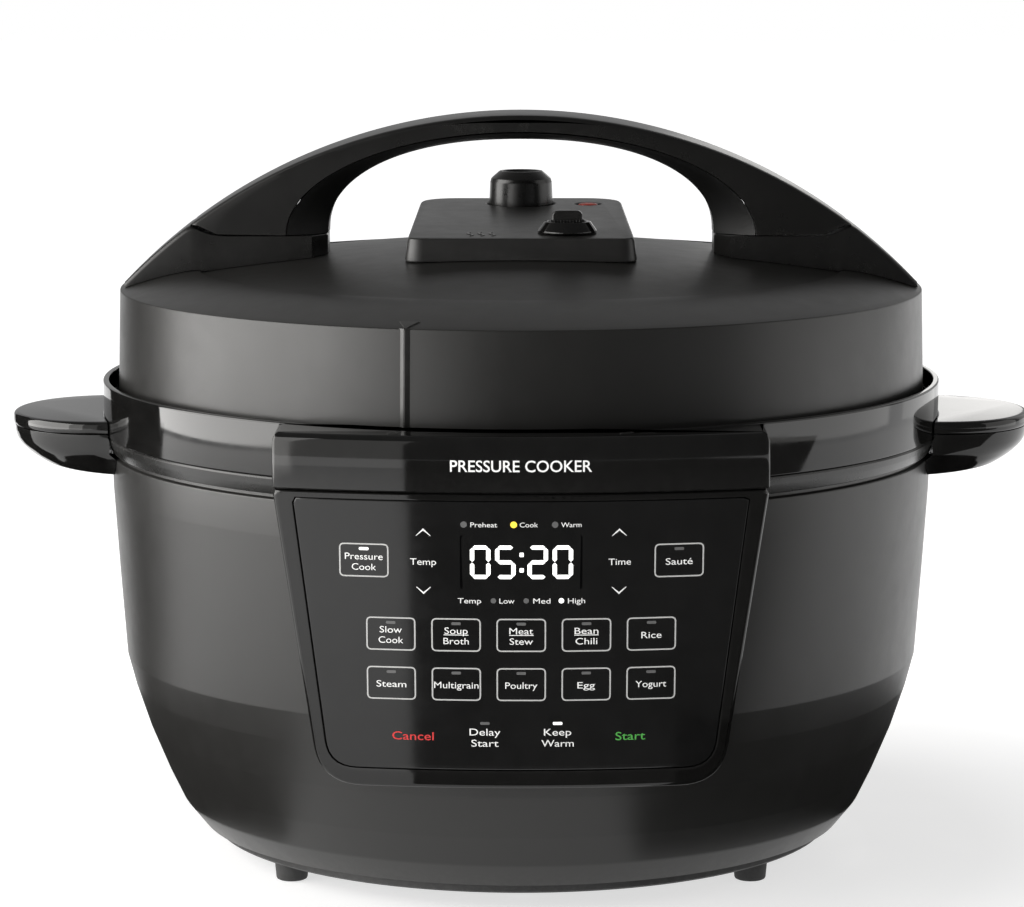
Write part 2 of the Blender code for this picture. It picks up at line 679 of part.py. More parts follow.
def build_handle_foot(side, sign):
    top_drop = GAP + 0.1
    steps = ((OPENING_HALF_WIDTH, SEAM_Z), (SEAM_HALF_WIDTH, SEAM_Z), (116.0, SEAM_Z), (127.0, SEAM_Z),
             (133.0, SEAM_Z + 1.6), (139.0, handle_arc_z(139.0)), (148.0, None), (157.0, None),
             (HANDLE_END_X, None))
    rings = []
    for x, top in steps:
        z = handle_arc_z(x) if top is None else top - top_drop
        w = HANDLE_HALF_DEPTH
        if x == OPENING_HALF_WIDTH:
            w -= 12.0
        w = min(w, math.sqrt(169.4 ** 2 - x * x))
        ring = [(x, -w + 0.8, z), (x, -w, z - 0.25), (x, -w, 232.0), (x, w, 232.0), (x, w, z - 0.25),
                (x, w - 0.8, z)]
        rings.append([(sign * px, py, pz) for px, py, pz in ring])
    foot = loft(f"lid_handle_foot_{side}", rings, dark_plastic(f"handle_foot_{side}_black"))
    cut(foot, lid_seat(f"foot_seat_{side}"))


def lid_seat(name):
    """What stands on the lid is cut to its surface, a running gap above it."""
    rise = GAP + 0.1
    profile = [(0.0, LID_APEX_Z + rise)] + [(r, z + rise) for r, z in LID_TOP[::-1]]
    profile += [(LID_R, 200.0), (0.0, 200.0)]
    return spin(name, profile, None, ring=False, cutter=True)


def cover_outline(grow, back_grow=0.0):
    """Plan of the vent cover, a little narrower towards the back."""
    front, back = COVER_FRONT_Y - grow, COVER_BACK_Y + grow + back_grow
    corners = [(-46.2 - grow, front), (46.2 + grow, front), (43.6 + grow, back), (-43.6 - grow, back)]
    return rounded(corners, [6.0 + grow, 6.0 + grow, 17.0 + grow, 17.0 + grow], 4)


def build_vent_cover():
    rings = []
    for grow, level in ((1.8, -26.0), (1.8, -9.0), (0.7, -0.9), (0.0, 0.0)):
        rings.append([(x, y, cover_top(y) + level) for x, y in cover_outline(grow)])
    cover = prism_between("vent_cover", rings, matt_black("vent_cover_black"))
    cut(cover, lid_seat("cover_seat"))
    hollow = [[(x, y, cover_top(y) + level) for x, y in cover_outline(-2.4)] for level in (-40.0, -2.6)]
    cut(cover, prism_between("cover_hollow", hollow, None, True))
    holes = (("knob_well", (0.0, KNOB_Y), 15.2), ("float_well", FLOAT_XY, 6.0), ("lever_well", LEVER_XY, 9.0))
    for name, (x, y), radius in holes:
        hole = spin(name, disc_profile(radius, 240.0, 290.0), None, (x, y, 0.0), 24, False, True)
        cut(cover, hole)
    return cover


def prism_between(name, rings, mat, cutter=False):
    """Skin rings and close the ends with flat faces."""
    count = len(rings[0])
    points = [p for ring in rings for p in ring]
    faces = []
    for row in range(len(rings) - 1):
        a = row * count
        for i in range(count):
            j = (i + 1) % count
            faces.append((a + i, a + j, a + count + j, a + count + i))
    faces.append(tuple(range(count)))
    faces.append(tuple(range((len(rings) - 1) * count, len(rings) * count)))
    mesh = face_out(mesh_from(name, points, faces))
    return smooth(add_object(name, mesh, mat, cutter=cutter), 25.0)


def build_valves():
    base = cover_top(KNOB_Y)
    knob = [(0.0, base + 12.6), (6.8, base + 12.6), (8.7, base + 14.4), (9.6, base + 14.4), (13.4, base + 11.2),
            (14.0, base + 1.0), (14.0, base - 1.6), (11.8, base - 1.6), (11.8, base + 9.0), (0.0, base + 9.0)]
    spin("steam_valve_knob", knob, material("knob_satin_black", (0.02, 0.02, 0.02), 0.28),
         (0.0, KNOB_Y, base), 32, ring=False)

    x, y = LEVER_XY
    z = cover_top(y)
    collar = [(8.0, z + 4.9), (9.4, z + 4.9), (12.3, z + 0.9), (12.3, z + 0.45), (8.0, z + 0.45)]
    spin("release_collar", collar, gloss_black("release_collar_black"), (x, y, 0.0), 28)
    tab = rounded([(-7.0, -6.0), (7.0, -6.0), (7.0, 9.6), (-7.0, 9.6)], [1.2, 1.2, 2.6, 2.6], 3)
    outline = [(u, v + z) for u, v in tab]
    lever = prism("release_lever", [(x + u, v) for u, v in outline], y - 2.4, y + 2.4,
                  dark_plastic("release_lever_black"), "XZ", (x, y, z))
    add_bevel(lever, 0.5, 1)

    fx, fy = FLOAT_XY
    top = cover_top(fy)
    pin = [(0.0, top + 0.3), (3.6, top + 0.3), (4.2, top - 0.2), (4.2, top - 2.4), (2.4, top - 2.4), (2.4, 231.5),
           (4.4, 231.5), (4.4, 229.0), (0.0, 229.0)]
    spin("float_pin", pin, material("float_pin_red", (0.55, 0.03, 0.02), 0.4), (fx, fy, top), 20, ring=False)


def build_fasteners():
    """Screws under the base and inside the lid."""
    for i, angle in enumerate((0.0, 90.0, 180.0, 270.0), 1):
        x, y = polar(108.0, angle)
        screw = [(0.0, 7.1), (3.6, 7.1), (3.2, 5.6), (0.0, 5.6)]
        spin(f"base_screw_{i}", screw, steel(f"base_screw_{i}_steel"), (x, y, 0.0), 14, ring=False)
    for i, x in enumerate((-36.0, 36.0), 1):
        low = 229.2
        screw = [(0.0, 233.6), (4.0, 233.6), (4.0, low + 1.0), (3.2, low), (0.0, low)]
        spin(f"lid_screw_{i}", screw, steel(f"lid_screw_{i}_steel"), (x, -30.0, 0.0), 14, ring=False)


def hang_on_axis(name, spot, members):
    """Parent pieces to an empty that stands on the axis they move about."""
    axis = bpy.data.objects.new(name, None)
    axis.location = (spot[0] * MM, (spot[1] + AXIS_Y) * MM, spot[2] * MM)
    PARTS.objects.link(axis)
    for member in members:
        obj = bpy.data.objects[member]
        obj.parent = axis
        obj.matrix_parent_inverse = Matrix.Translation(-axis.location)


def build():
    reset_scene()
    build_shell()
    build_shoulder()
    build_collar()
    build_brow()
    build_panel()
    build_electronics()
    build_base_plate()
    build_inlet()
    build_side_handles()
    build_well()
    build_pot()
    build_ring()
    build_lid_cover()
    build_lid_inside()
    build_lid_handle()
    build_vent_cover()
    build_valves()
    build_fasteners()
    hang_on_axis("lid_turn_axis", (0.0, 0.0, 217.0), LID_PIECES)


build()
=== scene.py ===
"""Looks of an electric pressure cooker with a twist-lock lid.

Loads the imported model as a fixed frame, gives every node its finish, and puts
finely turned, lofted and printed pieces in place of the coarse ones.  Sizes are
millimetres measured from the pot axis, with z from the floor, unless they say
otherwise; meshes are stored in metres.
"""

from __future__ import annotations

import json
import logging
import math
from dataclasses import dataclass, field
from enum import Enum

import bmesh
import bpy
from mathutils import Matrix, Vector

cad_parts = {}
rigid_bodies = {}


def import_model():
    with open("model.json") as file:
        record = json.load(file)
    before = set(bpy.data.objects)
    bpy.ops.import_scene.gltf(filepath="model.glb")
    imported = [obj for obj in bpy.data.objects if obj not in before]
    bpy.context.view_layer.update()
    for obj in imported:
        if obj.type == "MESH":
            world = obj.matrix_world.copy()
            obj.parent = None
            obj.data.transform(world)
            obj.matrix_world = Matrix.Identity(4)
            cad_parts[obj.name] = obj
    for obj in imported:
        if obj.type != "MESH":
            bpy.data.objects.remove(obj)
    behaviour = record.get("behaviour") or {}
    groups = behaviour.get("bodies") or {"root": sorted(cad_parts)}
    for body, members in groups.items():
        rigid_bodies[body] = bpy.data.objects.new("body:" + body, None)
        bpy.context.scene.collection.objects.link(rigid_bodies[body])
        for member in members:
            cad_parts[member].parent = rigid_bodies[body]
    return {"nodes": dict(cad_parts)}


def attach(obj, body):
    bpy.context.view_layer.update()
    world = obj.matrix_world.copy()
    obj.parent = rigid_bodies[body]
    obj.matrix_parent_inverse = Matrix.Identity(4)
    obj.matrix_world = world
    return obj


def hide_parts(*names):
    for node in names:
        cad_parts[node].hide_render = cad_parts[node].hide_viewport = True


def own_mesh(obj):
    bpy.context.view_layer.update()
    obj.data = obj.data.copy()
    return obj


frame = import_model()

LOG = logging.getLogger("pressure_cooker")
MM = 0.001
AXIS_Y = 7.1

Colour = tuple[float, float, float]
Plan = tuple[float, float]
Spot = tuple[float, float, float]


class Part(str, Enum):
    """Moving bodies of the cooker."""

    BASE = "base"
    POT = "inner_pot"
    RING = "sealing_ring"
    LID = "lid"
    LEVER = "release_lever"
    VALVE = "steam_valve"
    FLOAT = "float_valve"
    SENSOR = "temperature_sensor"


class Texture(Enum):
    """Surface textures that a finish can carry."""

    SPARK = "fine spark-eroded grain of a moulding"
    POLISH = "mould-polished gloss with faint handling marks"
    LATHE = "fine rings left by turning or spinning about the pot axis"
    BRUSH = "straight brushing"
    CAST = "pebbly cast skin"
    SOFT = "silky skin of a rubber"


class Shading(Enum):
    """Angle in degrees above which an edge is drawn sharp."""

    ROUND = 180.0
    MOULDED = 40.0
    CRISP = 24.0


# ------------------------------------------------------------------ finishes


class NodeSheet:
    """Small helper that lays out one material's nodes."""

    def __init__(self, name: str) -> None:
        """Starts an empty sheet with a Principled shader and its output.

        Args:
            name: name of the material.
        """
        self.material = bpy.data.materials.new(name)
        self.material.use_nodes = True
        self.tree = self.material.node_tree
        self.tree.nodes.clear()
        self.output = self.tree.nodes.new("ShaderNodeOutputMaterial")
        self.shader = self.tree.nodes.new("ShaderNodeBsdfPrincipled")
        self.link(self.shader.outputs["BSDF"], self.output.inputs["Surface"])

    def link(self, source: bpy.types.NodeSocket, target: bpy.types.NodeSocket) -> None:
        """Joins two sockets."""
        self.tree.links.new(source, target)

    def set(self, socket: str, value: float | tuple[float, ...]) -> None:
        """Gives one of the shader's own sockets a constant."""
        self.shader.inputs[socket].default_value = value

    def node(self, kind: str, **settings: object) -> bpy.types.Node:
        """Adds a node.

        Args:
            kind: Blender's name for the node type, without its ShaderNode prefix.
            settings: attributes to set on the node.

        Returns:
            The new node.
        """
        made = self.tree.nodes.new("ShaderNode" + kind)
        for key, value in settings.items():
            setattr(made, key, value)
        return made

    def place(self) -> bpy.types.NodeSocket:
        """The point being shaded, in metres in the part's frame."""
        return self.node("TexCoord").outputs["Object"]

    def math(self, operation: str, first: object, second: object = 0.0) -> bpy.types.NodeSocket:
        """Adds a Math node.

        Args:
            operation: name of the operation.
            first: a socket or a number.
            second: a socket or a number.

        Returns:
            The node's output.
        """
        made = self.node("Math", operation=operation)
        for slot, value in zip(made.inputs, (first, second)):
            if isinstance(value, bpy.types.NodeSocket):
                self.link(value, slot)
            else:
                slot.default_value = value
        return made.outputs[0]

    def noise(self, place: bpy.types.NodeSocket, cell_mm: float, detail: float = 2.0,
              rough: float = 0.5) -> bpy.types.NodeSocket:
        """Adds smooth noise.

        Args:
            place: where to read it.
            cell_mm: size of its blobs in millimetres.
            detail: octaves.
            rough: strength of the finer octaves.

        Returns:
            The noise's value, around 0.5.
        """
        made = self.node("TexNoise")
        made.inputs["Scale"].default_value = 1000.0 / cell_mm
        made.inputs["Detail"].default_value = detail
        made.inputs["Roughness"].default_value = rough
        self.link(place, made.inputs["Vector"])
        return made.outputs["Fac"]

    def spread(self, value: bpy.types.NodeSocket, low: float, high: float,
               start: float = 0.3, stop: float = 0.7) -> bpy.types.NodeSocket:
        """Maps a value from start..stop to low..high, clamped.

        Args:
            value: what is mapped.
            low: result at start.
            high: result at stop.
            start: value that gives low.
            stop: value that gives high.

        Returns:
            The mapped value.
        """
        made = self.node("MapRange")
        self.link(value, made.inputs["Value"])
        for key, number in (("From Min", start), ("From Max", stop), ("To Min", low), ("To Max", high)):
            made.inputs[key].default_value = number
        return made.outputs["Result"]

    def blend(self, share: bpy.types.NodeSocket, first: object, second: object) -> bpy.types.NodeSocket:
        """Mixes two colours.

        Args:
            share: 0 for the first, 1 for the second.
            first: a colour or a socket.
            second: a colour or a socket.

        Returns:
            The mixed colour.
        """
        made = self.node("Mix", data_type="RGBA")
        self.link(share, made.inputs["Factor"])
        for slot, value in ((made.inputs[6], first), (made.inputs[7], second)):
            if isinstance(value, bpy.types.NodeSocket):
                self.link(value, slot)
            else:
                slot.default_value = (*value, 1.0)
        return made.outputs[2]

    def bump(self, height: bpy.types.NodeSocket, depth_mm: float, strength: float = 1.0) -> None:
        """Raises the surface by a height map of that depth, in millimetres.

        Args:
            height: the height map.
            depth_mm: how far it stands out.
            strength: how much of it shows.
        """
        made = self.node("Bump")
        made.inputs["Strength"].default_value = strength
        made.inputs["Distance"].default_value = depth_mm * MM
        self.link(height, made.inputs["Height"])
        self.link(made.outputs["Normal"], self.shader.inputs["Normal"])


@dataclass(frozen=True)
class Coat:
    """What every finish has: a name, a slot and one material."""

    name: str
    slot: str
    colour: Colour

    def material(self) -> bpy.types.Material:
        """The finish's material, made once."""
        made = bpy.data.materials.get(self.name)
        return made or self._make()

    def _make(self) -> bpy.types.Material:
        """Lays out the nodes; each kind of finish has its own way."""
        raise NotImplementedError


@dataclass(frozen=True)
class Finish(Coat):
    """One finish: its colour, how glossy it is, the texture of its skin and a painted highlight on its edges.
    """

    roughness: float
    texture: Texture = Texture.SPARK
    metallic: float = 0.0
    specular: float = 0.5
    grain_mm: float = 0.35
    relief_mm: float = 0.012
    mottle: float = 0.06
    gloss_play: float = 0.025
    edge_highlight: float = 0.5
    edge_gloss: float = 0.08

    def _make(self) -> bpy.types.Material:
        """Lays out the nodes.

        Returns:
            The new material.
        """
        sheet = NodeSheet(self.name)
        sheet.set("Metallic", self.metallic)
        sheet.set("Specular IOR Level", self.specular)
        place = sheet.place()
        broad = sheet.noise(place, 70.0, 3.0)
        fine = sheet.noise(place, 9.0, 3.0, 0.6)
        patches = sheet.math("MULTIPLY", sheet.math("ADD", broad, fine), 0.5)
        dark = tuple(c * (1.0 - self.mottle) for c in self.colour)
        light = tuple(min(c * (1.0 + self.mottle), 1.0) for c in self.colour)
        colour = sheet.blend(sheet.spread(patches, 0.0, 1.0, 0.38, 0.62), dark, light)
        # Painted highlight: convex edges, picked out by pointiness and broken up by noise, are lightened
        # towards a paler colour; the same mask also lowers their roughness.
        edge_highlight_colour = tuple(min(c * 2.4 + 0.012, 0.95) for c in self.colour)
        edge_highlight_mask = sheet.spread(sheet.node("NewGeometry").outputs["Pointiness"], 0.0, self.edge_highlight, 0.515, 0.58)
        highlight_breakup = sheet.spread(sheet.noise(place, 3.0, 4.0, 0.7), 0.35, 1.0, 0.42, 0.6)
        edge_highlight_share = sheet.math("MULTIPLY", edge_highlight_mask, highlight_breakup)
        sheet.link(sheet.blend(edge_highlight_share, colour, edge_highlight_colour), sheet.shader.inputs["Base Color"])
        low = max(self.roughness - self.gloss_play, 0.02)
        gloss = sheet.spread(patches, low, self.roughness + self.gloss_play, 0.38, 0.62)
        edge_gloss_drop = sheet.math("MULTIPLY", edge_highlight_share, self.edge_gloss)
        sheet.link(sheet.math("SUBTRACT", gloss, edge_gloss_drop), sheet.shader.inputs["Roughness"])
        self._relief(sheet, place)
        return sheet.material

    def _relief(self, sheet: NodeSheet, place: bpy.types.NodeSocket) -> None:
        """Adds the skin's bump.

        Args:
            sheet: the material's sheet.
            place: the point being shaded.
        """
        if self.texture is Texture.SPARK or self.texture is Texture.CAST:
            cells = sheet.node("TexVoronoi", feature="SMOOTH_F1")
            cells.inputs["Scale"].default_value = 1000.0 / (self.grain_mm * 1.8)
            sheet.link(place, cells.inputs["Vector"])
            haze = sheet.noise(place, self.grain_mm, 3.0, 0.65)
            height = sheet.math("ADD", sheet.math("MULTIPLY", cells.outputs["Distance"], 0.7), haze)
        elif self.texture is Texture.LATHE:
            height = self._rings(sheet, place)
        elif self.texture is Texture.BRUSH:
            stretch = sheet.node("Mapping")
            stretch.inputs["Scale"].default_value = (0.02, 1.0, 1.0)
            sheet.link(place, stretch.inputs["Vector"])
            height = sheet.noise(stretch.outputs["Vector"], self.grain_mm, 3.0, 0.7)
        else:
            waves = sheet.noise(place, 24.0, 1.0)
            skin = sheet.noise(place, self.grain_mm, 2.0)
            height = sheet.math("ADD", sheet.math("MULTIPLY", waves, 0.6), sheet.math("MULTIPLY", skin, 0.25))
        sheet.bump(height, self.relief_mm)

    def _rings(self, sheet: NodeSheet, place: bpy.types.NodeSocket) -> bpy.types.NodeSocket:
        """Height map of turning marks about the pot axis.

        Args:
            sheet: the material's sheet.
            place: the point being shaded.

        Returns:
            The height.
        """
        parts = sheet.node("SeparateXYZ")
        sheet.link(place, parts.inputs[0])
        from_axis = sheet.math("SUBTRACT", parts.outputs["Y"], AXIS_Y * MM)
        plan = sheet.node("CombineXYZ")
        sheet.link(parts.outputs["X"], plan.inputs["X"])
        sheet.link(from_axis, plan.inputs["Y"])
        radius = sheet.node("VectorMath", operation="LENGTH")
        sheet.link(plan.outputs[0], radius.inputs[0])
        lane = sheet.node("CombineXYZ")
        sheet.link(radius.outputs["Value"], lane.inputs["X"])
        sheet.link(parts.outputs["Z"], lane.inputs["Y"])
        sheet.link(sheet.math("MULTIPLY", parts.outputs["X"], 0.01), lane.inputs["Z"])
        return sheet.noise(lane.outputs[0], self.grain_mm, 3.0, 0.7)


@dataclass(frozen=True)
class LampFinish(Coat):
    """A lit lamp or segment, or a printed ink; the inks' faint glow is painted light, since print is no lamp.
    """

    glow: float = 0.0
    roughness: float = 0.4

    def _make(self) -> bpy.types.Material:
        """Lays out the nodes.

        Returns:
            The new material.
        """
        sheet = NodeSheet(self.name)
        place = sheet.place()
        specks = sheet.noise(place, 0.5, 3.0, 0.6)
        thin = tuple(c * 0.86 for c in self.colour)
        sheet.link(sheet.blend(sheet.spread(specks, 0.0, 1.0), thin, self.colour),
                   sheet.shader.inputs["Base Color"])
        low = self.roughness - 0.06
        sheet.link(sheet.spread(specks, low, self.roughness + 0.06), sheet.shader.inputs["Roughness"])
        if self.glow:
            sheet.set("Emission Color", (*self.colour, 1.0))
            sheet.set("Emission Strength", self.glow)
        sheet.bump(specks, 0.003)
        return sheet.material


@dataclass(frozen=True)
class BoardFinish(Coat):
    """Solder-masked circuit board with tracks showing through."""

    def _make(self) -> bpy.types.Material:
        """Lays out the nodes.

        Returns:
            The new material.
        """
        sheet = NodeSheet(self.name)
        place = sheet.place()
        tracks = sheet.node("TexBrick")
        tracks.inputs["Scale"].default_value = 160.0
        tracks.inputs["Mortar Size"].default_value = 0.04
        copper = tuple(min(c * 2.2 + 0.02, 1.0) for c in self.colour)
        tracks.inputs["Color1"].default_value = (*self.colour, 1.0)
        tracks.inputs["Color2"].default_value = (*(c * 0.7 for c in self.colour), 1.0)
        tracks.inputs["Mortar"].default_value = (*copper, 1.0)
        sheet.link(place, tracks.inputs["Vector"])
        sheet.link(tracks.outputs["Color"], sheet.shader.inputs["Base Color"])
        mask = sheet.noise(place, 6.0, 3.0)
        sheet.link(sheet.spread(mask, 0.22, 0.4), sheet.shader.inputs["Roughness"])
        sheet.bump(tracks.outputs["Fac"], 0.03)
        return sheet.material


@dataclass(frozen=True)
class Palette:
    """Every finish on the cooker."""

    shell: Finish = Finish("finish_shell_matt", "matt_black", (0.0115, 0.0112, 0.0105), 0.36,
                           grain_mm=0.5, relief_mm=0.010)
    lid: Finish = Finish("finish_lid_matt", "matt_black", (0.0110, 0.0107, 0.0100), 0.36,
                         grain_mm=0.55, relief_mm=0.014)
    band: Finish = Finish("finish_band_satin", "satin_black", (0.0100, 0.0098, 0.0094), 0.26,
                          grain_mm=0.4, relief_mm=0.006)
    gloss: Finish = Finish("finish_gloss_black", "gloss_black", (0.0045, 0.0044, 0.0042), 0.07,
                           Texture.POLISH,
                           gloss_play=0.03, relief_mm=0.004, mottle=0.2)
    panel: Finish = Finish("finish_panel_overlay", "panel_black", (0.0055, 0.0055, 0.0055), 0.13,
                           Texture.POLISH,
                           gloss_play=0.03, relief_mm=0.003, mottle=0.2, edge_highlight=0.2)
    handle: Finish = Finish("finish_handle_satin", "handle_black", (0.0040, 0.0038, 0.0035), 0.30,
                            grain_mm=0.4, relief_mm=0.006)
    liner: Finish = Finish("finish_handle_liner", "liner_black", (0.0025, 0.0025, 0.0024), 0.42,
                           grain_mm=0.35, relief_mm=0.008)
    cover: Finish = Finish("finish_vent_cover", "matt_black", (0.0105, 0.0102, 0.0098), 0.36,
                           grain_mm=0.35, relief_mm=0.010)
    knob: Finish = Finish("finish_valve_knob", "satin_black", (0.0060, 0.0058, 0.0055), 0.28,
                          grain_mm=0.35, relief_mm=0.006)
    inside: Finish = Finish("finish_inner_moulding", "inner_black", (0.015, 0.015, 0.015), 0.5,
                            grain_mm=0.6, relief_mm=0.015)
    steel: Finish = Finish("finish_spun_steel", "stainless_steel", (0.60, 0.59, 0.57), 0.24, Texture.LATHE,
                           metallic=1.0, grain_mm=0.35, relief_mm=0.004, mottle=0.04, edge_highlight=0.1)
    pressed: Finish = Finish("finish_pressed_steel", "stainless_steel", (0.56, 0.56, 0.55), 0.32,
                             Texture.BRUSH,
                             metallic=1.0, grain_mm=0.3, relief_mm=0.004, mottle=0.05, edge_highlight=0.1)
    alloy: Finish = Finish("finish_cast_alloy", "cast_alloy", (0.48, 0.48, 0.49), 0.46, Texture.CAST,
                           metallic=1.0, grain_mm=0.7, relief_mm=0.03, mottle=0.08, edge_highlight=0.2)
    silicone: Finish = Finish("finish_silicone", "silicone", (0.52, 0.52, 0.49), 0.55, Texture.SOFT,
                              relief_mm=0.02, mottle=0.05, edge_highlight=0.1, specular=0.4)
    rubber: Finish = Finish("finish_foot_rubber", "foot_rubber", (0.022, 0.022, 0.022), 0.72, Texture.SOFT,
                            relief_mm=0.03, mottle=0.15)
    board: BoardFinish = BoardFinish("finish_circuit_board", "circuit_board", (0.015, 0.11, 0.045))
    display: Finish = Finish("finish_display_window", "display_black", (0.0012, 0.0012, 0.0014), 0.2,
                             Texture.POLISH, specular=0.12, gloss_play=0.02, relief_mm=0.002, edge_highlight=0.0)
    relay: Finish = Finish("finish_relay_blue", "relay_blue", (0.02, 0.07, 0.24), 0.38, grain_mm=0.3)
    winding: Finish = Finish("finish_winding_tape", "winding_yellow", (0.5, 0.33, 0.04), 0.42, Texture.SOFT,
                             relief_mm=0.02)
    post: Finish = Finish("finish_board_post", "board_post_grey", (0.5, 0.5, 0.48), 0.5, grain_mm=0.4)
    brass: Finish = Finish("finish_contact_brass", "contact_brass", (0.62, 0.50, 0.27), 0.26, Texture.BRUSH,
                           metallic=1.0, grain_mm=0.25, relief_mm=0.004, mottle=0.06, edge_highlight=0.1)
    fuse: Finish = Finish("finish_fuse_sleeve", "fuse_white", (0.66, 0.64, 0.58), 0.5, Texture.SOFT,
                          relief_mm=0.02, edge_highlight=0.1)
    red: Finish = Finish("finish_float_red", "float_red", (0.42, 0.035, 0.02), 0.38, Texture.SOFT,
                         relief_mm=0.01)
    # The inks glow faintly: a painted glow on print, which is no lamp.
    ink: LampFinish = LampFinish("finish_ink_white", "panel_black", (0.84, 0.84, 0.83), 0.12, 0.45)
    outline: LampFinish = LampFinish("finish_ink_outline", "panel_black", (0.50, 0.50, 0.49), 0.05, 0.45)
    name_ink: LampFinish = LampFinish("finish_ink_name", "gloss_black", (0.88, 0.88, 0.87), 0.12, 0.4)
    stop_ink: LampFinish = LampFinish("finish_ink_red", "panel_black", (0.62, 0.03, 0.03), 0.12, 0.45)
    go_ink: LampFinish = LampFinish("finish_ink_green", "panel_black", (0.07, 0.38, 0.06), 0.12, 0.45)
    lamp_off: LampFinish = LampFinish("finish_lamp_off", "panel_black", (0.13, 0.13, 0.13), 0.0, 0.35)
    lamp_on: LampFinish = LampFinish("finish_lamp_white", "panel_black", (0.95, 0.95, 0.93), 0.9, 0.3)
    lamp_cook: LampFinish = LampFinish("finish_lamp_yellow", "panel_black", (0.90, 0.62, 0.05), 0.75, 0.3)
    digit: LampFinish = LampFinish("finish_digit_lit", "display_black", (0.98, 0.98, 0.96), 1.0, 0.3)


LOOKS = Palette()
AnyFinish = Finish | LampFinish | BoardFinish


# ------------------------------------------------------------------- shaping


def fillet(corners: list[Plan], radii: float | list[float], closed: bool = True,
           steps: int = 4) -> list[Plan]:
    """Rounds the corners of an outline or a section.

    Args:
        corners: the corner points.
        radii: one radius, or one for each corner.
        closed: whether the last corner joins the first.
        steps: chords in each rounded corner.

    Returns:
        The rounded outline.
    """
    count = len(corners)
    sizes = radii if isinstance(radii, list) else [radii] * count
    points: list[Plan] = []
    for i, (corner, radius) in enumerate(zip(corners, sizes)):
        ends = not closed and i in (0, count - 1)
        here = Vector(corner)
        back = Vector(corners[i - 1]) - here
        ahead = Vector(corners[(i + 1) % count]) - here
        if ends or radius <= 0.0 or min(back.length, ahead.length) < 1e-6:
            points.append(tuple(here))
            continue
        half = back.angle(ahead) / 2.0
        if half > math.radians(89.0):
            points.append(tuple(here))
            continue
        reach = min(radius / math.tan(half), 0.48 * back.length, 0.48 * ahead.length)
        first, last = here + back.normalized() * reach, here + ahead.normalized() * reach
        for k in range(steps + 1):
            t = k / steps
            bow = first.lerp(here, t).lerp(here.lerp(last, t), t)
            points.append(tuple(bow))
    return points


def spread(start: float, stop: float, steps: int) -> list[float]:
    """Evenly spaced numbers with both ends included."""
    return [start + (stop - start) * i / steps for i in range(steps + 1)]


def polar(radius: float, degrees: float) -> Plan:
    """Plan position at an angle from the front, anticlockwise from above."""
    a = math.radians(degrees - 90.0)
    return radius * math.cos(a), radius * math.sin(a)


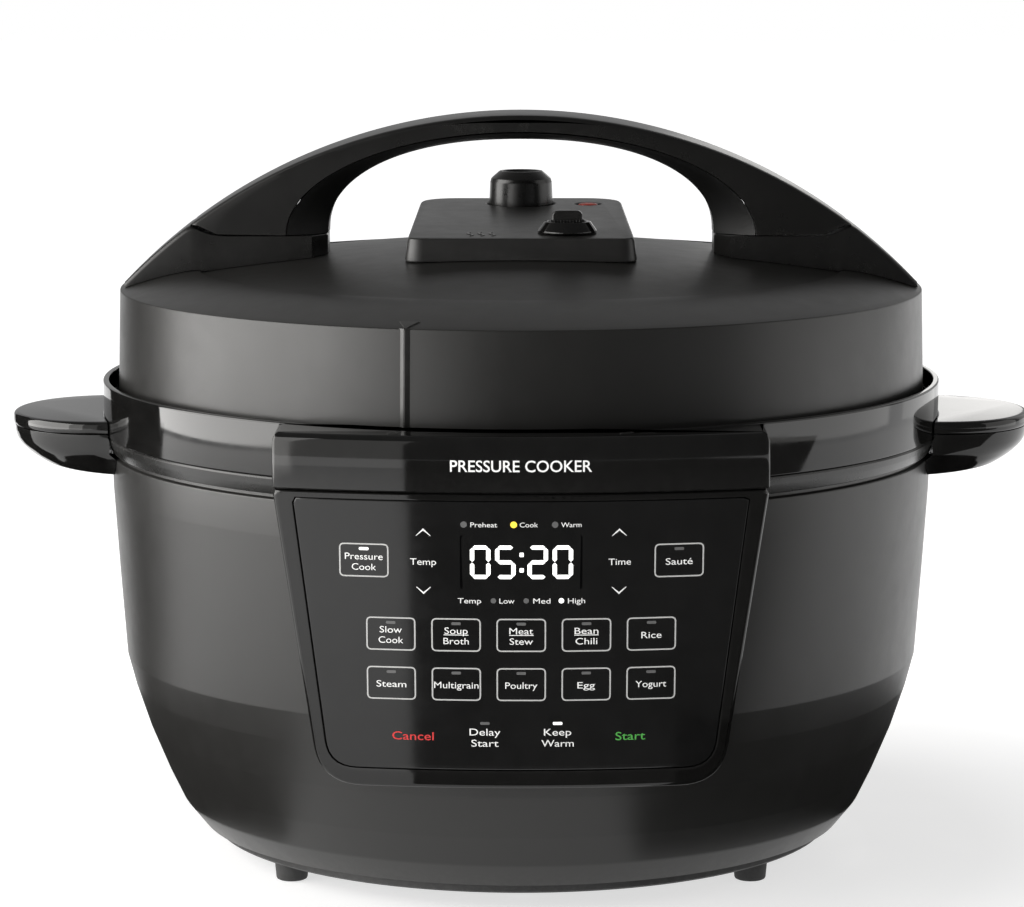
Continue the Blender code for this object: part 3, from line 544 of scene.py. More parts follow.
class Shaper:
    """Makes meshes from sections, rings and outlines given in millimetres."""

    @staticmethod
    def mesh(name: str, points: list[Spot], faces: list[tuple[int, ...]]) -> bpy.types.Mesh:
        """Builds a mesh whose faces point outward.

        Args:
            name: name of the mesh.
            points: corners, from the pot axis.
            faces: corner numbers of each face.

        Returns:
            The mesh, in metres.
        """
        made = bpy.data.meshes.new(name)
        made.from_pydata([(x * MM, (y + AXIS_Y) * MM, z * MM) for x, y, z in points], [], faces)
        work = bmesh.new()
        work.from_mesh(made)
        bmesh.ops.remove_doubles(work, verts=work.verts, dist=1e-6)
        bmesh.ops.recalc_face_normals(work, faces=work.faces)
        work.to_mesh(made)
        work.free()
        return made

    @classmethod
    def turned(cls, name: str, section: list[Plan], steps: int = 160, closed: bool = False,
               centre: Plan = (0.0, 0.0)) -> bpy.types.Mesh:
        """Turns a (radius, z) section about a vertical axis.

        Args:
            name: name of the mesh.
            section: points of the section; it starts and ends on the axis unless closed.
            steps: facets round the axis.
            closed: whether the section joins its own start.
            centre: where the axis stands.

        Returns:
            The mesh.
        """
        points: list[Spot] = []
        rows: list[list[int]] = []
        for radius, z in section:
            first = len(points)
            if radius < 1e-6:
                points.append((centre[0], centre[1], z))
                rows.append([first] * steps)
                continue
            for k in range(steps):
                a = math.tau * k / steps
                points.append((centre[0] + radius * math.cos(a), centre[1] + radius * math.sin(a), z))
            rows.append(list(range(first, first + steps)))
        pairs = list(zip(rows, rows[1:]))
        if closed:
            pairs.append((rows[-1], rows[0]))
        faces: list[tuple[int, ...]] = []
        for upper, lower in pairs:
            for k in range(steps):
                n = (k + 1) % steps
                loop = dict.fromkeys((upper[k], upper[n], lower[n], lower[k]))
                if len(loop) > 2:
                    faces.append(tuple(loop))
        return cls.mesh(name, points, faces)

    @classmethod
    def skinned(cls, name: str, rings: list[list[Spot]], closed: bool = False) -> bpy.types.Mesh:
        """Skins rings that have the same number of points.

        Args:
            name: name of the mesh.
            rings: the rings, in order.
            closed: whether the last ring joins the first; otherwise both ends are capped.

        Returns:
            The mesh.
        """
        count = len(rings[0])
        points = [p for ring in rings for p in ring]
        faces: list[tuple[int, ...]] = []
        rows = len(rings) if closed else len(rings) - 1
        for row in range(rows):
            a, b = row * count, ((row + 1) % len(rings)) * count
            for i in range(count):
                j = (i + 1) % count
                faces.append((a + i, a + j, b + j, b + i))
        if not closed:
            faces.append(tuple(range(count)))
            faces.append(tuple(range((len(rings) - 1) * count, len(rings) * count)))
        return cls.mesh(name, points, faces)

    @classmethod
    def slab(cls, name: str, outline: list[Plan], low: float, high: float,
             edge: float = 0.0) -> bpy.types.Mesh:
        """Extrudes a plan outline upward, with its top edge rounded.

        Args:
            name: name of the mesh.
            outline: plan outline.
            low: height of the underside.
            high: height of the top.
            edge: radius of the top edge.

        Returns:
            The mesh.
        """
        rings = [[(x, y, low) for x, y in outline]]
        if edge:
            for k in range(4):
                a = math.pi / 2.0 * k / 3
                inset = edge * (1.0 - math.cos(a))
                shrunk = inset_outline(outline, inset)
                rings.append([(x, y, high - edge + edge * math.sin(a)) for x, y in shrunk])
        else:
            rings.append([(x, y, high) for x, y in outline])
        return cls.skinned(name, rings)

    @classmethod
    def block(cls, name: str, size: Spot, middle: Spot) -> bpy.types.Mesh:
        """A rectangular block.

        Args:
            name: name of the mesh.
            size: its length along x, y and z.
            middle: its middle.

        Returns:
            The mesh.
        """
        half = [s / 2.0 for s in size]
        outline = [(-half[0], -half[1]), (half[0], -half[1]), (half[0], half[1]), (-half[0], half[1])]
        placed = [(middle[0] + x, middle[1] + y) for x, y in outline]
        return cls.slab(name, placed, middle[2] - half[2], middle[2] + half[2])


def inset_outline(outline: list[Plan], distance: float) -> list[Plan]:
    """Moves a closed outline inward.

    Args:
        outline: the outline, either way round.
        distance: how far each side moves.

    Returns:
        The smaller outline, point for point.
    """
    count = len(outline)
    area = sum(outline[i - 1][0] * outline[i][1] - outline[i][0] * outline[i - 1][1] for i in range(count))
    side = 1.0 if area > 0.0 else -1.0
    moved: list[Plan] = []
    for i in range(count):
        before, here, after = (Vector(outline[k % count]) for k in (i - 1, i, i + 1))
        first, second = (here - before).normalized(), (after - here).normalized()
        normal = Vector((-first.y - second.y, first.x + second.x)) * side
        if normal.length < 1e-6:
            normal = Vector((-first.y, first.x)) * side
        normal.normalize()
        stretch = max(normal.dot(Vector((-first.y, first.x)) * side), 0.5)
        moved.append(tuple(here + normal * (distance / stretch)))
    return moved


class Bench:
    """Turns meshes into finished pieces that ride on a body."""

    @staticmethod
    def piece(name: str, mesh: bpy.types.Mesh, finish: AnyFinish, body: Part,
              stands_for: tuple[str, ...] = (),
              shading: Shading = Shading.MOULDED) -> bpy.types.Object:
        """Makes one piece.

        Args:
            name: name of the piece.
            mesh: its mesh, in metres.
            finish: its finish.
            body: the body it rides on.
            stands_for: nodes of the frame that it is shown instead of.
            shading: where its edges are drawn sharp.

        Returns:
            The piece.
        """
        mesh.name = name
        made = bpy.data.objects.new(name, mesh)
        bpy.context.scene.collection.objects.link(made)
        mesh.materials.clear()
        mesh.materials.append(finish.material())
        mesh.shade_smooth()
        if shading is not Shading.ROUND:
            mesh.set_sharp_from_angle(angle=math.radians(shading.value))
        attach(made, body.value)
        if stands_for:
            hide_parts(*stands_for)
        LOG.info("%s: %d faces on %s", name, len(mesh.polygons), body.value)
        return made

    @staticmethod
    def carved(mesh: bpy.types.Mesh, cutters: list[bpy.types.Mesh],
               operation: str = "DIFFERENCE") -> bpy.types.Mesh:
        """Cuts meshes out of a mesh, or welds them to it.

        Args:
            mesh: what is worked on.
            cutters: the tools.
            operation: DIFFERENCE or UNION.

        Returns:
            The worked mesh.
        """
        scene = bpy.context.scene.collection.objects
        blank = bpy.data.objects.new("blank", mesh)
        scene.link(blank)
        tools = []
        for cutter in cutters:
            tool = bpy.data.objects.new("tool", cutter)
            scene.link(tool)
            tools.append(tool)
            step = blank.modifiers.new("work", "BOOLEAN")
            step.operation = operation
            step.solver = "EXACT"
            step.object = tool
        bpy.context.view_layer.update()
        done = bpy.data.meshes.new_from_object(blank.evaluated_get(bpy.context.evaluated_depsgraph_get()))
        for extra in [blank, *tools]:
            bpy.data.objects.remove(extra, do_unlink=True)
        return done

    @staticmethod
    def gathered(name: str, meshes: list[bpy.types.Mesh]) -> bpy.types.Mesh:
        """Puts several meshes into one.

        Args:
            name: name of the new mesh.
            meshes: the meshes.

        Returns:
            The new mesh.
        """
        work = bmesh.new()
        for mesh in meshes:
            work.from_mesh(mesh)
        made = bpy.data.meshes.new(name)
        work.to_mesh(made)
        work.free()
        return made

    @staticmethod
    def dress(nodes: tuple[str, ...], finish: AnyFinish) -> None:
        """Gives nodes of the frame a finish.

        Args:
            nodes: names of the nodes.
            finish: the finish.
        """
        for name in nodes:
            slots = frame["nodes"][name].material_slots
            for slot in slots:
                slot.link = "OBJECT"
                slot.material = finish.material()
            LOG.info("%s: dressed in %s", name, finish.name)


# ------------------------------------------------------------- shared curves


@dataclass(frozen=True)
class PanelFace:
    """Curved, tilted surface that the control panel and the name band follow."""

    front: float = -192.0
    tilt: float = 0.183
    top_z: float = 179.0
    radius: float = 350.0

    def y(self, x: float, z: float, depth: float = 0.0) -> float:
        """Distance of the face from the axis, that depth behind the surface."""
        return self.front + (self.top_z - z) * self.tilt + x * x / (2.0 * self.radius) + depth


@dataclass(frozen=True)
class LidDome:
    """Top surface of the lid."""

    step_width: float = 1.4
    shoulder_rise: float = 8.2
    shoulder_power: float = 1.45
    rim_radius: float = 170.0
    rim_z: float = 239.0
    step_radius: float = 137.0
    apex_z: float = 257.0
    fall: float = 10.6

    def z(self, radius: float) -> float:
        """Height of the surface at a distance from the axis.

        Args:
            radius: the distance.

        Returns:
            The height.
        """
        if radius <= self.step_radius - self.step_width:
            return self.apex_z - self.fall * (radius / (self.step_radius - self.step_width)) ** 2
        across = (self.rim_radius - radius) / (self.rim_radius - self.step_radius)
        return self.rim_z + self.shoulder_rise * (1.0 - (1.0 - min(across, 1.0)) ** self.shoulder_power)

    def section(self, rise: float = 0.0) -> list[Plan]:
        """Points of the surface from the axis to the rim, that far above it.

        Args:
            rise: how far above.

        Returns:
            Radius and height of each point.
        """
        inner = [(r, self.z(r) + rise) for r in spread(0.0, self.step_radius - self.step_width, 22)]
        outer = [(r, self.z(r) + rise) for r in spread(self.step_radius, self.rim_radius, 10)]
        return inner + outer


@dataclass(frozen=True)
class HandleArch:
    """Curves of the carrying handle."""

    top_z: float = 312.4
    seam_z: float = 262.0
    half_depth: float = 21.0
    opening_half: float = 81.5
    opening_top: float = 301.6
    seam_half: float = 99.0
    seam_top: float = 305.4

    def arc_z(self, x: float) -> float:
        """Height of the outer arc.

        Args:
            x: distance from the middle.

        Returns:
            The height.
        """
        rise = self.top_z - DOME.rim_z
        radius = (DOME.rim_radius ** 2 + rise * rise) / (2.0 * rise)
        return self.top_z - radius + math.sqrt(radius * radius - x * x)


FACE = PanelFace()
DOME = LidDome()
ARCH = HandleArch()


# ---------------------------------------------------------------------- base


@dataclass
class Housing:
    """Outer shell, trim bands, base plate, feet and screws."""

    steps: int = 224
    crease_z: float = 84.0
    top_z: float = 171.4
    bottom_z: float = 12.0
    wall: float = 2.6
    band_z: Plan = (171.8, 179.0)
    collar_z: Plan = (179.3, 201.0)
    collar_radius: float = 177.8
    brow_half: float = 95.5
    foot_spots: dict[str, Plan] = field(default_factory=lambda: {
        "front_left": (-95.0, -80.0), "front_right": (95.0, -80.0),
        "rear_right": (95.0, 80.0), "rear_left": (-95.0, 80.0)})

    def outer(self) -> list[Plan]:
        """Outer side of the shell from its lip down to its sole.

        Returns:
            Radius and height of each point.
        """
        corners = [(172.8, self.top_z), (172.8, 170.2), (174.3, 169.5), (173.9, 155.0), (171.6, 120.0),
                   (169.0, self.crease_z), (165.6, 71.0), (159.6, 53.0), (152.2, 35.0), (146.0, 22.0),
                   (138.0, self.bottom_z)]
        return fillet(corners, [0.3, 0.4, 0.8, 20.0, 40.0, 5.0, 14.0, 18.0, 14.0, 8.0, 0.6], False, 5)

    def radius_at(self, z: float) -> float:
        """Radius of the body at a height.

        Args:
            z: the height.

        Returns:
            The radius.
        """
        if z >= self.collar_z[0]:
            return self.collar_radius
        if z >= self.band_z[0]:
            return 177.1
        outer = self.outer()
        for (r0, z0), (r1, z1) in zip(outer, outer[1:]):
            if z1 <= z <= z0 and z0 > z1:
                return r0 + (r1 - r0) * (z0 - z) / (z0 - z1)
        return 174.3

    def build(self) -> None:
        """Makes every piece of the housing."""
        self._shell()
        self._bands()
        self._brow()
        self._ledge_marks()
        self._sole()
        self._feet()
        self._screws()

    def _shell(self) -> None:
        """Turns the shell and cuts the opening for the mains inlet."""
        outer = self.outer()
        inner = [(r - self.wall, z) for r, z in reversed(outer) if 30.0 < z < 169.0]
        section = [(169.6, self.top_z)] + outer
        section += [(118.0, self.bottom_z), (118.0, self.bottom_z + self.wall),
                    (137.5, self.bottom_z + self.wall)]
        section += inner
        mesh = Shaper.turned("outer_shell", section, self.steps, closed=True)
        mesh = Bench.carved(mesh, [Shaper.block("inlet_opening", (34.6, 60.0, 26.6), (0.0, 150.0, 48.0))])
        Bench.piece("shell_moulding", mesh, LOOKS.shell, Part.BASE, ("outer_shell",), Shading.MOULDED)

    def _bands(self) -> None:
        """Turns the satin shoulder band and the gloss collar above it."""
        low, high = self.band_z
        band = fillet([(168.5, high), (176.6, high), (177.1, high - 0.9), (176.3, 175.4), (174.7, low),
                       (168.5, low)],
                      [0.0, 0.3, 0.4, 3.0, 0.5, 0.0])
        mesh = Shaper.turned("shoulder_band", band, self.steps, closed=True)
        Bench.piece("shoulder_moulding", mesh, LOOKS.band, Part.BASE, ("shoulder_band",))
        low, high = self.collar_z
        out = self.collar_radius
        collar = fillet([(out - 2.5, high), (out, high), (out - 0.3, low), (158.0, low), (158.0, low + 2.4),
                         (out - 2.8, low + 2.4)], [0.5, 0.9, 0.5, 0.0, 0.0, 0.3])
        mesh = Shaper.turned("collar_ring", collar, self.steps, closed=True)
        Bench.piece("collar_moulding", mesh, LOOKS.gloss, Part.BASE, ("collar_ring",))

    def _brow(self) -> None:
        """Lofts the name band that stands out in front of the collar."""
        low, high = self.collar_z
        half = self.brow_half
        back = self.collar_radius + 0.3
        front = [(x, FACE.y(x, FACE.top_z)) for x in spread(-half, half, 72)]
        rear = [(x, -math.sqrt(back * back - x * x)) for x in spread(half, -half, 72)]
        outline = front + rear
        sharp = [0.0] * len(outline)
        sharp[0] = sharp[72] = 2.2
        outline = fillet(outline, sharp)
        rings = []
        for inset, z in ((0.6, low), (0.0, low + 0.6), (0.0, low + 9.0), (0.15, high - 3.4),
                         (0.55, high - 2.0),
                         (1.15, high - 0.9), (2.1, high - 0.15), (2.9, high)):
            rings.append([(x, y, z) for x, y in inset_outline(outline, inset)])
        mesh = Shaper.skinned("front_brow", rings)
        Bench.piece("name_band_moulding", mesh, LOOKS.gloss, Part.BASE, ("front_brow",), Shading.MOULDED)

    def _ledge_marks(self) -> None:
        """Raises the small open and closed marks on the ledge in front of the lid."""
        z = self.collar_z[1]
        marks = [Shaper.block("dash", (10.0, 0.7, 0.24), (-31.0, -181.2, z + 0.12))]
        for x, lifted in ((-49.0, 0.0), (40.0, 1.6)):
            marks.append(Shaper.slab("lock_body",
                                     fillet([(x - 2.2, -183.4), (x + 2.2, -183.4), (x + 2.2, -180.4),
                                                          (x - 2.2, -180.4)], 0.5), z, z + 0.24))
            middle = x + lifted
            bow = [(middle + 1.6 * math.cos(a), -180.2 + 2.0 * math.sin(a)) for a in spread(0.0, math.pi, 10)]
            bow += [(middle + 1.0 * math.cos(a), -180.2 + 1.4 * math.sin(a)) for a in spread(math.pi, 0.0,
                                                                                             10)]
            marks.append(Shaper.slab("lock_bow", bow, z, z + 0.24))
        marks.append(Shaper.block("dash_open", (6.0, 0.7, 0.24), (48.5, -181.0, z + 0.12)))
        Bench.piece("lock_marks", Bench.gathered("lock_marks", marks), LOOKS.band, Part.BASE)

    def _sole(self) -> None:
        """Turns the base plate with its ribs and cuts its air slots."""
        low = 7.5
        section = [(0.0, 11.7), (132.6, 11.7), (133.0, 11.3), (133.0, low + 0.8), (132.2, low)]
        for groove in (121.0, 92.0, 34.0):
            section += [(groove + 1.2, low), (groove + 0.9, low + 0.9), (groove - 0.9, low + 0.9),
                        (groove - 1.2, low)]
        section.append((0.0, low))
        slots = []
        for k in range(24):
            a = math.tau * k / 24
            turn = Matrix.Rotation(a, 2)
            outline = fillet([(46.0, -1.5), (78.0, -1.5), (78.0, 1.5), (46.0, 1.5)], 1.3)
            placed = [tuple(turn @ Vector(p)) for p in outline]
            slots.append(Shaper.slab("air_slot", placed, 0.0, 20.0))
        mesh = Shaper.turned("base_plate", section, 128)
        mesh = Bench.carved(mesh, [Bench.gathered("air_slots", slots)])
        Bench.piece("sole_plate", mesh, LOOKS.inside, Part.BASE, ("base_plate",))

    def _feet(self) -> None:
        """Turns the four rubber feet."""
        for where, spot in self.foot_spots.items():
            foot = [(0.0, 7.2), (7.1, 7.2), (7.0, 6.4), (6.5, 0.9), (6.2, 0.3), (5.6, 0.0), (3.4, 0.0),
                    (3.1, 0.5),
                    (0.0, 0.5)]
            mesh = Shaper.turned(f"foot_{where}", foot, 48, centre=spot)
            Bench.piece(f"rubber_foot_{where}", mesh, LOOKS.rubber, Part.BASE, (f"foot_{where}",))

    def _screws(self) -> None:
        """Turns the four screws of the base plate, with cross recesses."""
        for i, angle in enumerate((0.0, 90.0, 180.0, 270.0), 1):
            x, y = polar(108.0, angle)
            head = [(0.0, 7.1), (3.6, 7.1), (3.6, 6.7), (2.9, 5.9), (0.0, 5.6)]
            mesh = Shaper.turned("screw", head, 40, centre=(x, y))
            cross = [Shaper.block("slot", (0.7, 3.6, 1.4), (x, y, 5.6)),
                     Shaper.block("slot", (3.6, 0.7, 1.4), (x, y, 5.6))]
            mesh = Bench.carved(mesh, cross)
            Bench.piece(f"sole_screw_{i}", mesh, LOOKS.pressed, Part.BASE, (f"base_screw_{i}",))


@dataclass
class SideGrips:
    """The two carrying grips, each an upper plate and a bowl-shaped lower shell."""

    body: Housing
    tip: float = 216.9
    half: float = 44.5
    seam_z: float = 180.7
    bowl_z: float = 162.8
    nose_steps: int = 56

    def outline(self, tip: float, half: float, root: float) -> list[Plan]:
        """Plan of one grip on +X, with a round nose and its root along the body.

        Args:
            tip: reach of the nose.
            half: half width.
            root: radius that the root follows.

        Returns:
            The outline.
        """
        flat = math.sqrt(root * root - half * half)
        points: list[Plan] = []
        for a in spread(-math.pi / 2.0, math.pi / 2.0, self.nose_steps):
            points.append((flat + 3.0 + (tip - flat - 3.0) * max(math.cos(a), 0.0) ** 0.92,
                           half * math.sin(a)))
        for y in spread(half, -half, 32):
            points.append((math.sqrt(root * root - y * y), y))
        return points

    def build(self) -> None:
        """Makes both grips."""
        for side, sign in (("left", -1.0), ("right", 1.0)):
            upper = self._upper(sign)
            lower = self._lower(sign)
            Bench.piece(f"grip_top_{side}", upper, LOOKS.gloss, Part.BASE, (f"side_handle_upper_{side}",))
            Bench.piece(f"grip_bowl_{side}", lower, LOOKS.gloss, Part.BASE, (f"side_handle_lower_{side}",))

    def _upper(self, sign: float) -> bpy.types.Mesh:
        """Lofts an upper plate on that side.

        Args:
            sign: -1 for the left, 1 for the right.

        Returns:
            The mesh.
        """
        root = self.body.collar_radius + 0.3
        levels = [(180.9, -0.5), (181.3, -0.1), (182.2, 0.0), (184.4, -0.05), (185.1, -0.3), (185.6, -0.8),
                  (185.9, -1.5), (186.0, -2.4)]
        rings = []
        for z, grow in levels:
            outline = self.outline(self.tip + grow, self.half + grow, root)
            rings.append([(sign * x, y, z) for x, y in outline])
        return Shaper.skinned("grip_top", rings)

    def _lower(self, sign: float) -> bpy.types.Mesh:
        """Lofts a lower shell on that side.

        Args:
            sign: -1 for the left, 1 for the right.

        Returns:
            The mesh.
        """
        rings = []
        for t in (0.0, 0.012, 0.04, 0.09, 0.16, 0.26, 0.38, 0.52, 0.68, 0.84, 0.95, 1.0):
            tuck = 0.5 if t == 0.0 else 0.0
            tip = self.tip - 0.6 - 12.0 * (1.0 - t) ** 2.6 - tuck
            half = self.half - 0.5 - 6.2 * (1.0 - t) ** 2.8 - tuck
            z = self.bowl_z + (self.seam_z - 0.2 - self.bowl_z) * t
            root = self.body.radius_at(z) + 0.3
            ring = []
            for x, y in self.outline(tip, half, root):
                sag = 0.09 * max(x - 171.0, 0.0) * (1.0 - t) ** 1.2
                ring.append((sign * x, y, z + sag))
            rings.append(ring)
        return Shaper.skinned("grip_bowl", rings)


@dataclass
class HeatingWell:
    """Steel well, locking flange, heater and temperature sensor."""

    steps: int = 144
    radius: float = 134.7
    lugs: int = 10
    lug_half_deg: float = 6.5

    def build(self) -> None:
        """Makes every piece of the well."""
        r = self.radius
        well = [(132.0, 183.6), (166.0, 183.6), (166.0, 182.1), (r, 182.1), (r, 50.0), (130.7, 46.0),
                (101.0, 46.0),
                (101.0, 47.2), (130.0, 47.2), (133.5, 50.8), (133.5, 180.0)]
        mesh = Shaper.turned("pot_well",
                             fillet(well, [1.0, 0.4, 0.4, 1.2, 6.0, 3.0, 0.3, 0.3, 3.0, 5.0, 1.5]),
                             self.steps, closed=True)
        Bench.piece("well_can", mesh, LOOKS.steel, Part.BASE, ("pot_well",))
        lock = [(155.0, 198.5), (157.0, 198.5), (157.0, 186.4), (166.0, 186.4), (166.0, 184.0),
                (155.0, 184.0)]
        mesh = Shaper.turned("locking_flange", fillet(lock, [0.5, 0.5, 0.8, 0.4, 0.4, 0.4]), self.steps,
                             closed=True)
        teeth = [lug(147.8, 155.3, 193.4, 196.4, 18.0 + 36.0 * i, self.lug_half_deg)
                 for i in range(self.lugs)]
        mesh = Bench.gathered("locking_flange", [mesh, *teeth])
        Bench.piece("lock_flange_pressing", mesh, LOOKS.pressed, Part.BASE, ("locking_flange",),
                    Shading.CRISP)
        self._heater()
        self._sensor()

    def _heater(self) -> None:
        """Turns the cast plate with its shallow rings, and the tubular element."""
        plate = [(16.0, 49.9)]
        for r in (28.0, 44.0, 60.0, 76.0, 90.0):
            z = 50.5 - 0.3 * abs(r - 60.0) / 40.0
            plate += [(r - 1.2, z), (r - 0.5, z - 0.5), (r + 0.5, z - 0.5), (r + 1.2, z)]
        plate += fillet([(97.0, 50.2), (99.0, 48.6), (99.0, 43.0)], 0.8, False)
        plate.append((16.0, 43.0))
        mesh = Shaper.turned("heating_plate", plate, self.steps, closed=True)
        Bench.piece("hot_plate_casting", mesh, LOOKS.alloy, Part.BASE, ("heating_plate",), Shading.CRISP)
        tube = [(70.0 + 4.0 * math.cos(a), 38.6 + 4.0 * math.sin(a)) for a in spread(0.0, math.tau, 20)[:-1]]
        mesh = Shaper.turned("heating_element", tube, self.steps, closed=True)
        Bench.piece("heater_tube", mesh, LOOKS.pressed, Part.BASE, ("heating_element",))
        Bench.dress(("heater_post_1", "heater_post_2", "heater_post_3"), LOOKS.pressed)
        Bench.dress(("thermal_fuse",), LOOKS.fuse)

    def _sensor(self) -> None:
        """Turns the sprung sensor cap and its holder."""
        cap = [(0.0, 50.7), (9.4, 50.7), (10.4, 50.5), (11.2, 49.9), (11.5, 49.2), (11.5, 44.0), (4.0, 44.0),
               (4.0, 22.4), (3.6, 22.0), (0.0, 22.0)]
        Bench.piece("sensor_cap", Shaper.turned("sensor", cap, 72), LOOKS.alloy, Part.SENSOR,
                    ("temperature_sensor",))
        holder = fillet([(4.8, 26.6), (13.0, 26.6), (13.0, 12.0), (4.8, 12.0)], [0.6, 0.8, 0.4, 0.4])
        Bench.piece("sensor_bush", Shaper.turned("holder", holder, 64, closed=True), LOOKS.inside, Part.BASE,
                    ("sensor_holder",))
        self._spring()

    @staticmethod
    def _spring() -> None:
        """Winds the spring under the cap."""
        turns, low, high, radius, wire, pressed, seat = 4.0, 27.9, 42.8, 8.2, 0.75, 0.84, 26.6
        rings = []
        for share in spread(0.0, 1.0, 160):
            a = math.tau * turns * share
            ring = []
            for b in spread(0.0, math.tau, 14)[:-1]:
                r = radius + wire * math.cos(b)
                ring.append((r * math.cos(a), r * math.sin(a),
                             low + (high - low) * share + wire * math.sin(b)))
            rings.append(ring)
        coil = Bench.piece("sensor_coil", Shaper.skinned("coil", rings), LOOKS.pressed, Part.BASE,
                           ("sensor_spring",))
        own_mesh(coil)


def lug(inner: float, outer: float, low: float, high: float, degrees: float,
        half_deg: float) -> bpy.types.Mesh:
    """A short arc-shaped tooth of the twist lock.

    Args:
        inner: inner radius.
        outer: outer radius.
        low: height of its underside.
        high: height of its top.
        degrees: where its middle stands, from the front.
        half_deg: half the angle it spans.

    Returns:
        The tooth's mesh.
    """
    near = [polar(inner, degrees + s) for s in spread(-half_deg, half_deg, 10)]
    far = [polar(outer, degrees + s) for s in spread(half_deg, -half_deg, 10)]
    sharp = [0.0] * 22
    for k in (0, 10, 11, 21):
        sharp[k] = 1.0
    return Shaper.slab("lug", fillet(near + far, sharp, True, 3), low, high, 0.4)


@dataclass
class Inlet:
    """Recessed mains inlet at the back."""

    middle: Spot = (0.0, 152.0, 48.0)

    def build(self) -> None:
        """Makes the housing with its chamfered frame, and dresses the three contacts."""
        body = self._frame(17.0, 13.0, 2.2, 137.0, 167.0)
        hollow = self._frame(12.2, 8.2, 1.6, 145.0, 176.0)
        mesh = Bench.carved(body, [hollow])
        Bench.piece("inlet_housing", mesh, LOOKS.inside, Part.BASE, ("power_inlet",))
        Bench.dress(("inlet_pin_1", "inlet_pin_2", "inlet_pin_3"), LOOKS.brass)

    def _frame(self, half_x: float, half_z: float, corner: float, front: float,
               rear: float) -> bpy.types.Mesh:
        """A rounded rectangular bar along y.

        Args:
            half_x: half width.
            half_z: half height.
            corner: corner radius.
            front: y of one end.
            rear: y of the other end.

        Returns:
            The mesh.
        """
        shape = fillet([(-half_x, -half_z), (half_x, -half_z), (half_x, half_z), (-half_x, half_z)], corner)
        z = self.middle[2]
        return Shaper.skinned("frame", [[(u, y, z + v) for u, v in shape] for y in (front, rear)])


class Electronics:
    """Boards and components inside the base."""

    def build(self) -> None:
        """Dresses the boards and their components."""
        Bench.dress(("control_board", "power_board"), LOOKS.board)
        Bench.dress(("display_module",), LOOKS.display)
        Bench.dress(("relay",), LOOKS.relay)
        Bench.dress(("transformer",), LOOKS.winding)
        Bench.dress(("board_post_1", "board_post_2"), LOOKS.post)


# ------------------------------------------------------------- control panel


